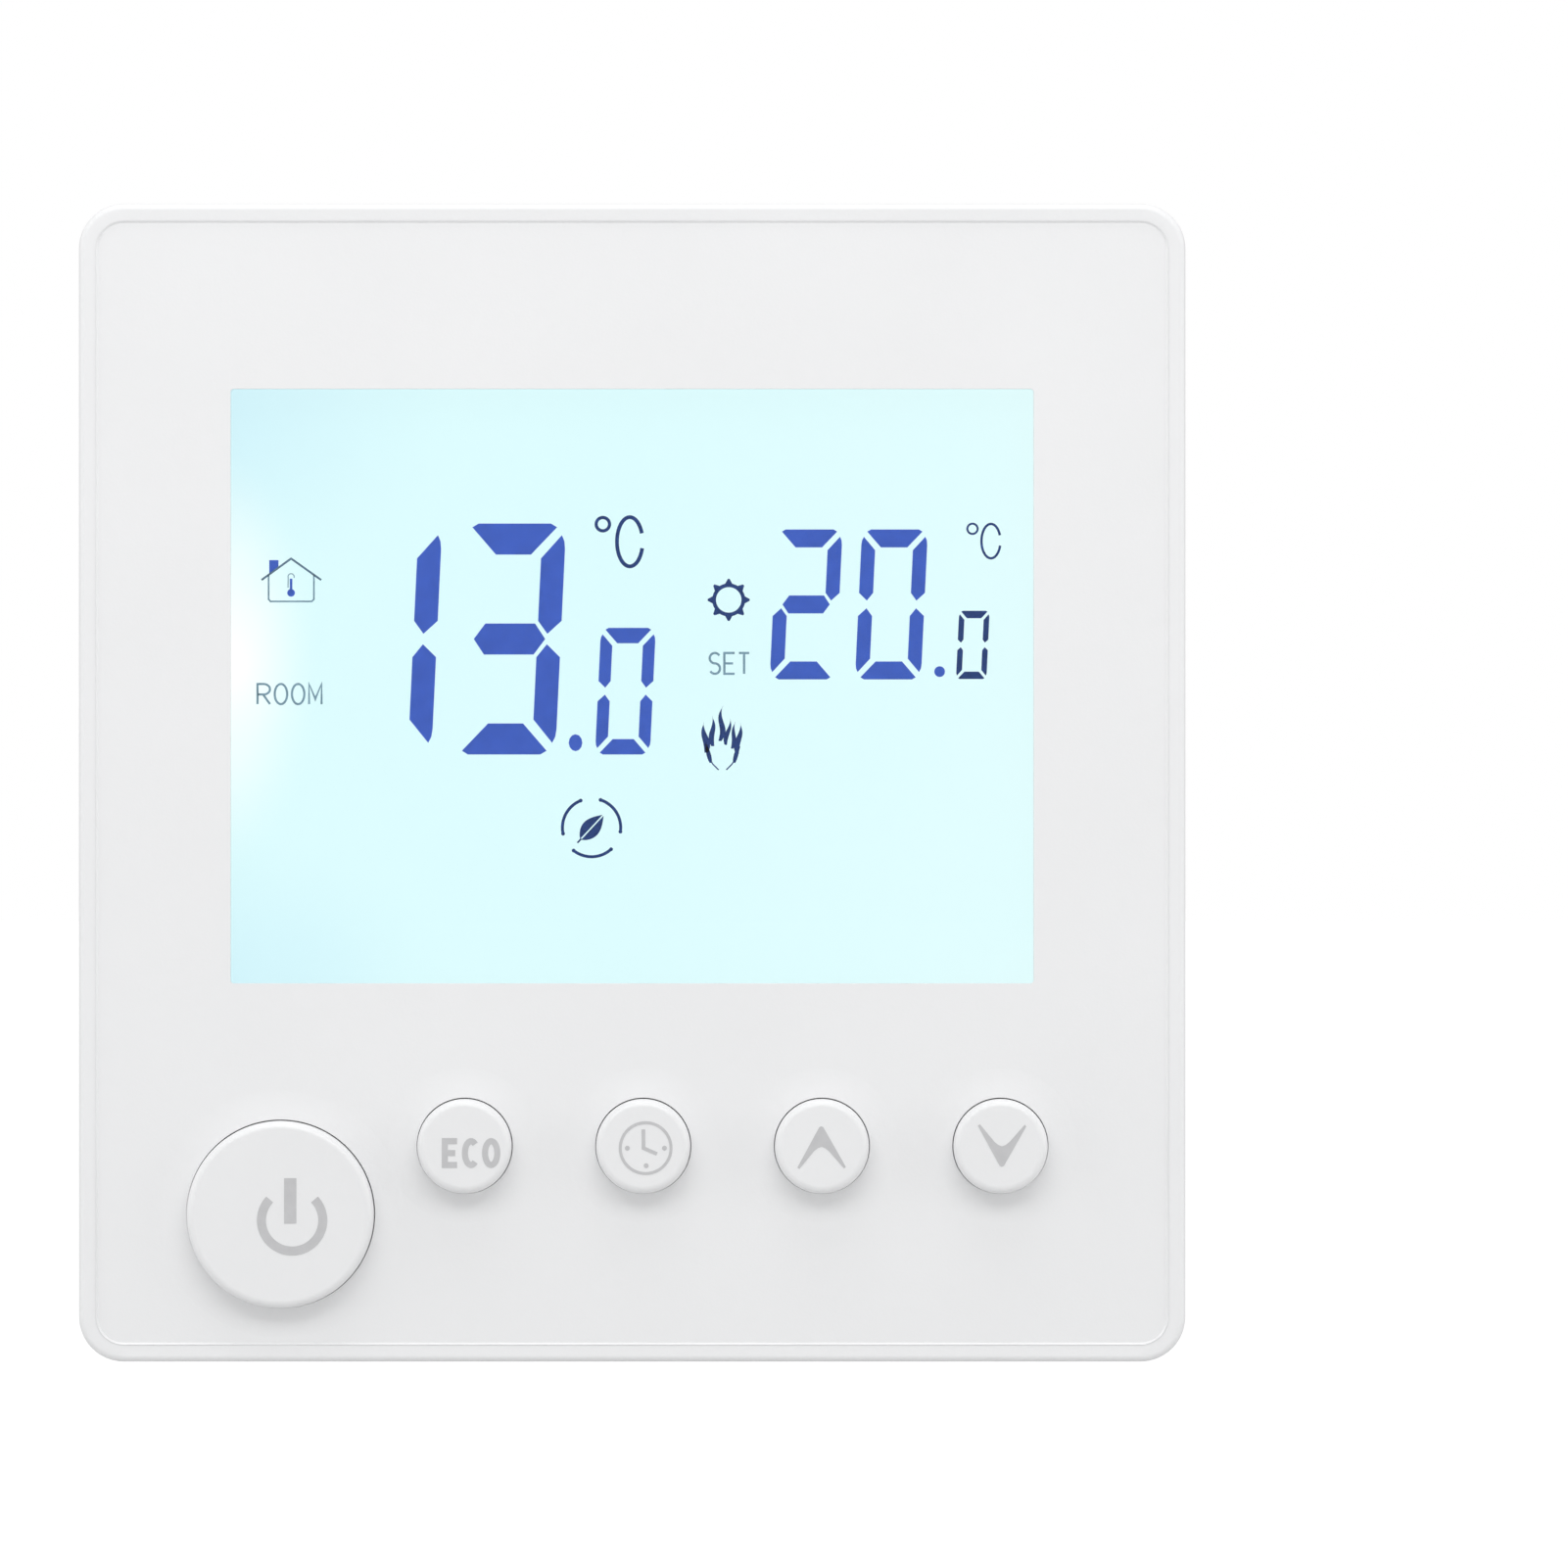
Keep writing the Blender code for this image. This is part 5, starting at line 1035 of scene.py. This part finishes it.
def add_leaf_sign(form, centre, y_span):
    """Three arcs with round ends round a leaf that leans to the right."""
    radius = 2.27 * MM
    for start in (100, 340, 220):
        points = arc(centre, (radius, radius), start + 12, start + 92, 20)
        add_band(form, stroke(points, 0.24 * MM), y_span)
        for end in (points[0], points[-1]):
            add_disc(form, end, (0.15 * MM, 0.15 * MM), layered(y_span, 1), 16)
    lean = math.radians(47)
    along = Vector((math.cos(lean), math.sin(lean)))
    side = Vector((-along.y, along.x))
    middle_point = Vector(centre) + Vector((0.02 * MM, 0.02 * MM))
    for half in (-1, 1):
        pairs = []
        for step in range(17):
            share = step / 16
            line = middle_point + along * (share - 0.5) * 2.55 * MM
            reach = 0.66 * MM * math.sin(math.pi * share ** 0.85) ** 0.9
            vein = 0.05 * MM
            pairs.append((line + side * half * vein, line + side * half * (vein + max(reach, 0.01 * MM))))
        if half < 0:
            pairs = [(right, left) for left, right in pairs]
        add_band(form, pairs, y_span)
    stalk = [middle_point - along * 1.65 * MM, middle_point - along * 1.2 * MM]
    add_band(form, stroke([tuple(point) for point in stalk], 0.13 * MM), y_span)


def make_house_sign(materials, centre, y_span):
    """A house with a roof, a chimney and a thermometer on its wall."""
    x, z = centre
    lines = bmesh.new()
    roof = [(-2.30, 0.05), (0.0, 1.72), (2.35, 0.05)]
    add_band(lines, stroke([(x + u * MM, z + v * MM) for u, v in roof], 0.16 * MM), y_span)
    make_piece("house_roof_mark", lines, materials["mark_slate"], "front_unit")
    wall = [(-1.75, 0.42), (-1.75, -1.45), (-1.60, -1.62), (1.62, -1.62), (1.78, -1.45), (1.78, 0.42)]
    body = bmesh.new()
    add_band(body, stroke([(x + u * MM, z + v * MM) for u, v in wall], 0.13 * MM), y_span)
    add_band(body, stroke(arc((x, z + 0.30 * MM), (0.24 * MM, 0.24 * MM), -20, 200, 12)
                          + [(x - 0.24 * MM, z - 0.55 * MM)], 0.08 * MM), y_span)
    make_piece("house_wall_mark", body, materials["mark_pale"], "front_unit")
    solid = bmesh.new()
    chimney = [(-1.70, 0.55), (-1.70, 1.60), (-0.98, 1.60), (-0.98, 1.12)]
    add_plate(solid, [(x + u * MM, z + v * MM) for u, v in chimney], y_span)
    add_box(solid, (x - 0.10 * MM, x + 0.10 * MM), y_span, (z - 0.85 * MM, z + 0.15 * MM))
    add_disc(solid, (x, z - 0.95 * MM), (0.30 * MM, 0.30 * MM), layered(y_span, 1), 24)
    make_piece("house_blue_mark", solid, materials["mark_blue"], "front_unit")


# ---------------------------------------------------------------- screws

def thread_radius(radius, depth, pitch, angle, along):
    """Return a thread's radius at an angle and a distance along its axis."""
    share = (along / pitch - angle / (2 * math.pi)) % 1.0
    return radius - depth * abs(2 * share - 1) ** 0.8


def shank_rings(centre, seat, tip, radius, direction, pitch):
    """Return a shank's rings from under its head to its point, threaded if it has a pitch."""
    length = abs(tip - seat)
    runs = int(length / pitch * RINGS_PER_TURN) if pitch else PLAIN_RINGS
    point = POINT_SHARE * radius
    rings = []
    for run in range(1, runs + 1):
        along = length * run / runs
        fade = min(1.0, along / (2 * pitch)) if pitch else 0.0
        taper = max(0.0, along - (length - point)) / point
        ring = []
        for step in range(SCREW_STEPS):
            angle = 2 * math.pi * step / SCREW_STEPS
            reach = radius
            if pitch:
                reach = thread_radius(radius, THREAD_DEPTH * pitch * fade, pitch, angle, along)
            reach = min(reach, radius - 0.75 * point * taper)
            ring.append((centre[0] + reach * math.cos(angle), seat + direction * along,
                         centre[1] + reach * math.sin(angle)))
        rings.append(ring)
    return rings


def make_screw(node, material, size, direction, drive, pitch=0.0):
    """Replace a screw node: a domed head with its drive recess, and a shank with a point."""
    head_radius, head_height, shank_radius = size
    low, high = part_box(node)
    centre = middle(node)
    top, tip = (low.y, high.y) if direction > 0 else (high.y, low.y)
    seat = top + direction * head_height
    crown = CROWN_SHARE * head_height
    rings = []
    for angle in (12, 30, 48, 64, 78, 90):
        swing = math.radians(angle)
        rings.append(circle(centre, head_radius * (0.25 + 0.75 * math.sin(swing)),
                            top + direction * crown * (1 - math.cos(swing)), SCREW_STEPS))
    rings.append(circle(centre, head_radius, seat - direction * HEAD_CHAMFER, SCREW_STEPS))
    rings.append(circle(centre, head_radius - HEAD_CHAMFER, seat, SCREW_STEPS))
    rings.append(circle(centre, shank_radius, seat, SCREW_STEPS))
    form = bmesh.new()
    add_loft(form, rings + shank_rings(centre, seat, tip, shank_radius, direction, pitch))
    piece = make_piece(f"{node}_turned", form, material, frame["nodes"][node]["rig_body"], (node,))
    outside = top - direction * OVERLAP
    if "slot" in drive:
        bottom = top + direction * SLOT_DEPTH * head_height
        recess = bmesh.new()
        add_box(recess, (centre[0] - head_radius - OVERLAP, centre[0] + head_radius + OVERLAP),
                sorted((outside, bottom)),
                (centre[1] - SLOT_HALF * head_radius, centre[1] + SLOT_HALF * head_radius))
        combine(piece, recess, "DIFFERENCE")
    if "cross" in drive:
        for reach_x, reach_z in ((0.58, 0.15), (0.15, 0.58)):
            ends = []
            for share, y in ((1.25, outside), (1.0, top),
                             (0.35, top + direction * CROSS_DEPTH * head_height)):
                half_x, half_z = reach_x * head_radius * share, reach_z * head_radius * min(1.0, share)
                ends.append([(centre[0] + side_x * half_x, y, centre[1] + side_z * half_z)
                             for side_x, side_z in ((1, 1), (-1, 1), (-1, -1), (1, -1))])
            arm = bmesh.new()
            add_loft(arm, ends)
            combine(piece, arm, "DIFFERENCE")


def make_screws(materials):
    """Every screw in the object."""
    steel = materials["steel"]
    for side in ("left", "right"):
        make_screw(f"mounting_screw_{side}", materials["zinc"], MOUNTING_SCREW, 1,
                   ("slot", "cross"), MOUNTING_PITCH)
        make_screw(f"inner_cover_screw_{side}", steel, SMALL_SCREW, 1, ("cross",))
    for index in BOARD_SCREWS:
        make_screw(f"board_screw_{index}", steel, SMALL_SCREW, -1, ("cross",))
    for index in TERMINALS:
        make_screw(f"terminal_screw_{index}", materials["nickel"], TERMINAL_SCREW, -1, ("slot",))


# ---------------------------------------------------------------- boards and housing

def make_main_board(materials):
    """The front unit's board with its chip, cell, plug pins, small parts and tracks."""
    refine_all(materials, (("main_board", "board", "board_green", 0.1),
                           ("mcu_chip", "epoxy", "epoxy_black", 0.12),
                           ("battery_holder", "black", "black_plastic", 0.15),
                           ("header_pins", "black", "black_plastic", 0.08)))
    board_low, board_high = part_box("main_board")
    header_low, header_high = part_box("header_pins")
    pin_pitch = (header_high.x - header_low.x) / 8
    pins = [(header_low.x + (index + 0.5) * pin_pitch, (header_low.z + header_high.z) / 2)
            for index in range(8)]
    make_chip_leads(materials, board_high.y)
    make_cell(materials, board_high.y)
    make_joints(materials, board_low.y, board_high.y, pins)
    make_small_parts(materials, board_high.y)
    make_tracks(materials, board_high.y, pins)


def chip_place():
    """Return the large chip's centre and half its width."""
    low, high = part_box("mcu_chip")
    return (*middle("mcu_chip"), (high.x - low.x) / 2)


def make_chip_leads(materials, back_y):
    """The large chip's leads, eleven to a side."""
    x, z, half = chip_place()
    legs = bmesh.new()
    leg_y = (back_y + 0.02 * MM, back_y + 0.22 * MM)
    for index in range(11):
        offset = (index - 5) * LEAD_PITCH
        for side in (-1, 1):
            foot = sorted((side * (half - 0.1 * MM), side * (half + 1.0 * MM)))
            add_box(legs, (x + offset - LEAD_HALF, x + offset + LEAD_HALF), leg_y,
                    (z + foot[0], z + foot[1]))
            add_box(legs, (x + foot[0], x + foot[1]), leg_y,
                    (z + offset - LEAD_HALF, z + offset + LEAD_HALF))
    make_piece("mcu_legs", legs, materials["steel"], "front_unit")


def make_cell(materials, back_y):
    """The clock's coin cell and the strap across its holder."""
    low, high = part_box("clock_battery")
    cell = middle("clock_battery")
    radius = (high.x - low.x) / 2
    rim_y = high.y - 0.2 * MM
    form = bmesh.new()
    add_turned(form, cell, [(radius, low.y)]
               + [(radius - across, rim_y - along) for across, along in quarter(0.25 * MM, 5)]
               + [(radius - 0.8 * MM, rim_y), (radius - 1.0 * MM, high.y)], 96)
    make_piece("clock_cell", form, materials["nickel"], "front_unit", ("clock_battery",))
    low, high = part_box("battery_holder")
    across = (cell[0] - STRAP_HALF, cell[0] + STRAP_HALF)
    strap = bmesh.new()
    add_box(strap, across, (high.y + 0.02 * MM, high.y + 0.22 * MM), (low.z, high.z))
    for end_z in (low.z, high.z):
        span = sorted((end_z, end_z + math.copysign(0.25 * MM, end_z - cell[1])))
        add_box(strap, across, (back_y, high.y + 0.22 * MM), span)
    make_piece("cell_strap", strap, materials["nickel"], "front_unit")


def make_joints(materials, front_y, back_y, pins):
    """The solder at the plug pins and at the switches' legs."""
    pads = bmesh.new()
    for pin in pins:
        add_turned(pads, pin, [(0.9 * MM, front_y - 0.03 * MM), (0.9 * MM, front_y + 0.1 * MM)], 24)
    for key in KEYS:
        x, z = middle(f"{key}_switch_body")
        for side_x in (-1, 1):
            for side_z in (-1, 1):
                place = (x + side_x * 3.25 * MM, z + side_z * 2.25 * MM)
                add_turned(pads, place, [(0.75 * MM, back_y - 0.1 * MM), (0.75 * MM, back_y + 0.04 * MM),
                                         (0.55 * MM, back_y + 0.35 * MM), (0.2 * MM, back_y + 0.7 * MM)],
                           20)
    make_piece("solder_joints", pads, materials["solder"], "front_unit")


def make_small_parts(materials, back_y):
    """Rows of chip capacitors and resistors, one kind after the other."""
    chips, ends, black_chips = bmesh.new(), bmesh.new(), bmesh.new()
    for row, (left_x, row_z, count, pitch) in enumerate(CHIP_ROWS):
        for index in range(count):
            x, z = (left_x + index * pitch) * MM, row_z * MM
            tall = (index + row) % 2
            height = 0.75 * MM if tall else 0.5 * MM
            add_box(chips if tall else black_chips, (x - CHIP_HALF, x + CHIP_HALF),
                    (back_y + 0.05 * MM, back_y + height), (z - 0.6 * MM, z + 0.6 * MM))
            for side in (-1, 1):
                add_box(ends, sorted((x + side * CHIP_HALF, x + side * 1.0 * MM)),
                        (back_y + 0.02 * MM, back_y + height + 0.02 * MM), (z - CHIP_HALF, z + CHIP_HALF))
    make_piece("ceramic_chips", chips, materials["tan"], "front_unit")
    make_piece("resistor_chips", black_chips, materials["epoxy"], "front_unit")
    make_piece("chip_ends", ends, materials["solder"], "front_unit")


def make_tracks(materials, back_y, pins):
    """Tracks from the chip to the plug pins, to the left edge and to the upper right."""
    x, z, half = chip_place()
    lines = []
    for index, (pin_x, pin_z) in enumerate(pins):
        leg_x = x + (index - 3.5) * LEAD_PITCH
        bend_z = z - half - 3.0 * MM - index * 0.7 * MM
        shift = abs(pin_x - leg_x)
        if bend_z - shift > pin_z + 1.0 * MM:
            lines.append([(pin_x, pin_z), (pin_x, bend_z - shift), (leg_x, bend_z),
                          (leg_x, z - half - TRACK_START)])
    for index in range(9):
        start_z = z + (index - 4) * LEAD_PITCH
        end_z = start_z + (index - 4) * 1.6 * MM
        bend_x = x - half - 3.5 * MM
        lines.append([(x - half - TRACK_START, start_z), (bend_x, start_z),
                      (bend_x - abs(end_z - start_z), end_z), (-36.5 * MM, end_z)])
    for index in range(6, 9):
        start_z = z + (index - 4) * LEAD_PITCH
        rise = (9 - index) * 0.35 * MM
        end_z = 22.0 * MM + index * 0.8 * MM
        bend_x = x + half + 1.5 * MM
        lines.append([(x + half + TRACK_START, start_z), (bend_x, start_z),
                      (bend_x + rise, start_z + rise), (bend_x + rise, end_z), (30.0 * MM, end_z)])
    tracks = bmesh.new()
    for points in lines:
        add_band(tracks, stroke(points, TRACK_WIDTH), (back_y - 0.02 * MM, back_y + 0.018 * MM))
    make_piece("board_tracks", tracks, materials["track"], "front_unit")


def make_switches(materials):
    """The push switches under the caps."""
    for key in KEYS:
        refine(f"{key}_switch_body", materials["black"], "black_plastic", 0.15 * MM)
        refine(f"{key}_switch_plunger", materials["switch"], "switch_black", 0.15 * MM)


def make_housing(materials):
    """The power base: housing, its inner cover, label and terminal row."""
    refine_all(materials, (("rear_housing", "housing", "housing_grey", 0.25, 3),
                           ("inner_cover", "housing", "housing_grey", 0.2)))
    refine("terminal_block", materials["terminal"], "terminal_green", 0.2 * MM, 2, BLOCK_SHORTEST_EDGE)
    for index in TERMINALS:
        refine(f"clamp_cage_{index}", materials["nickel"], "steel", 0.1 * MM)
    make_label(materials)


def make_label(materials):
    """The blank rating label with its ruled frame and a circle for each terminal."""
    low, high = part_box("rating_label")
    x, z = middle("rating_label")
    half_x, half_z = (high.x - low.x) / 2, (high.z - low.z) / 2
    form = bmesh.new()
    add_loft(form, [rounded_ring(half_x - grow, half_z - grow, LABEL_CORNER, y, 8, (x, z))
                    for grow, y in ((0.0, low.y), (0.0, high.y - 0.06 * MM),
                                    (0.04 * MM, high.y - 0.02 * MM))])
    make_piece("blank_label", form, materials["label"], "base", ("rating_label",))
    lines = bmesh.new()
    span = (high.y - 0.03 * MM, high.y)
    outline = rounded_outline(half_x - RULE_INSET, half_z - RULE_INSET, 0.8 * MM, 4, (x, z))
    add_band(lines, stroke(outline, RULE_WIDTH, True), span, True)
    for share in (-0.15, 0.38):
        level = z + share * half_z
        add_box(lines, (x - half_x + 1.7 * MM, x + half_x - 1.7 * MM), span,
                (level - 0.1 * MM, level + 0.1 * MM))
    for index in TERMINALS:
        dot_x = x + (index - 3.5) * TERMINAL_PITCH
        add_ring(lines, (dot_x, z - half_z + 4.2 * MM), 1.0 * MM, 0.22 * MM, span, 40)
        add_box(lines, (dot_x - 0.11 * MM, dot_x + 0.11 * MM), span,
                (z - half_z + 5.3 * MM, z - 0.15 * half_z))
    make_piece("label_rules", lines, materials["print"], "base")


def make_power_board(materials):
    """The mains board and its parts, inside the housing."""
    refine_all(materials, (("power_board", "board", "board_green", 0.1),
                           ("header_socket", "black", "black_plastic", 0.08),
                           ("relay", "relay", "relay_blue", 0.4, 3),
                           ("film_capacitor", "film", "film_yellow", 0.4, 3),
                           ("transformer", "ferrite", "ferrite", 0.3),
                           ("filter_capacitor", "sleeve", "capacitor_dark", 0.1),
                           ("fuse", "epoxy", "epoxy_black", 0.15),
                           ("varistor", "varistor", "varistor_blue", 0.15),
                           ("ntc_sensor", "epoxy", "epoxy_black", 0.12)))


# ---------------------------------------------------------------- studio

def add_light(name, kind, place, towards, strength):
    """Add a light at a place, pointing along a direction, and return its settings."""
    light = bpy.data.lights.new(name, kind)
    light.energy = strength
    item = bpy.data.objects.new(name, light)
    item.location = place
    item.rotation_euler = Vector(towards).to_track_quat("-Z", "Y").to_euler()
    bpy.context.scene.collection.objects.link(item)
    return light


def make_studio(materials):
    """A pale floor, soft light, and a level camera facing the cover.

    The floor and the world show the camera more light than they give the object, for a white ground.
    """
    form = bmesh.new()
    bmesh.ops.create_grid(form, x_segments=8, y_segments=8, size=FLOOR_REACH)
    mesh = bpy.data.meshes.new("floor")
    form.to_mesh(mesh)
    form.free()
    floor = bpy.data.objects.new("floor", mesh)
    floor.location = (0.0, 0.0, cad_bounds[0][2] - FLOOR_DROP)
    floor.data.materials.append(materials["floor"])
    tree = materials["floor"].node_tree
    shader = tree.nodes["Principled BSDF"]
    seen = tree.nodes.new("ShaderNodeLightPath")
    shader.inputs["Emission Color"].default_value = (FLOOR_LIFT, FLOOR_LIFT, FLOOR_LIFT, 1.0)
    tree.links.new(seen.outputs["Is Camera Ray"], shader.inputs["Emission Strength"])
    bpy.context.scene.collection.objects.link(floor)

    world = bpy.data.worlds.new("studio")
    world.use_nodes = True
    tree = world.node_tree
    soft = tree.nodes["Background"]
    soft.inputs["Color"].default_value = (1.0, 1.0, 1.0, 1.0)
    soft.inputs["Strength"].default_value = SOFT_LIGHT
    backdrop = tree.nodes.new("ShaderNodeBackground")
    backdrop.inputs["Color"].default_value = (1.0, 1.0, 1.0, 1.0)
    seen = tree.nodes.new("ShaderNodeLightPath")
    choose = tree.nodes.new("ShaderNodeMixShader")
    tree.links.new(seen.outputs["Is Camera Ray"], choose.inputs["Fac"])
    tree.links.new(soft.outputs["Background"], choose.inputs[1])
    tree.links.new(backdrop.outputs["Background"], choose.inputs[2])
    tree.links.new(choose.outputs["Shader"], tree.nodes["World Output"].inputs["Surface"])
    bpy.context.scene.world = world

    overhead = add_light("overhead", "SUN", (0.0, 0.0, CAMERA_DISTANCE), OVERHEAD_AIM, OVERHEAD_LIGHT)
    overhead.angle = OVERHEAD_SPREAD
    panel_aim = tuple(-value for value in PANEL_PLACE)
    panel = add_light("panel", "AREA", PANEL_PLACE, panel_aim, PANEL_LIGHT)
    panel.shape = "RECTANGLE"
    panel.size, panel.size_y = PANEL_SIZE
    for side, name in ((-1, "fill_left"), (1, "fill_right")):
        place = (side * SIDE_PLACE[0], SIDE_PLACE[1], SIDE_PLACE[2])
        fill = add_light(name, "AREA", place, tuple(-value for value in place), SIDE_LIGHT)
        fill.size = SIDE_SIZE

    camera_data = bpy.data.cameras.new("camera")
    camera_data.sensor_width = CAMERA_SENSOR
    camera_data.lens = CAMERA_SENSOR * CAMERA_DISTANCE / VIEW_WIDTH
    camera_data.clip_start = CAMERA_DISTANCE / 20
    camera_data.clip_end = 2 * FLOOR_REACH
    camera = bpy.data.objects.new("camera", camera_data)
    front_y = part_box("front_cover")[0].y
    camera.location = (VIEW_CENTRE[0], front_y - CAMERA_DISTANCE, VIEW_CENTRE[1])
    camera.rotation_euler = (math.radians(90), 0.0, 0.0)
    bpy.context.scene.collection.objects.link(camera)
    bpy.context.scene.camera = camera
    bpy.context.scene.view_settings.view_transform = "Standard"


def main():
    """Make the whole scene."""
    materials = make_materials(window_box())
    make_cover(materials)
    make_caps(materials)
    make_legends(materials)
    make_display(materials)
    make_marks(materials)
    make_screws(materials)
    make_main_board(materials)
    make_switches(materials)
    make_housing(materials)
    make_power_board(materials)
    make_studio(materials)


main()
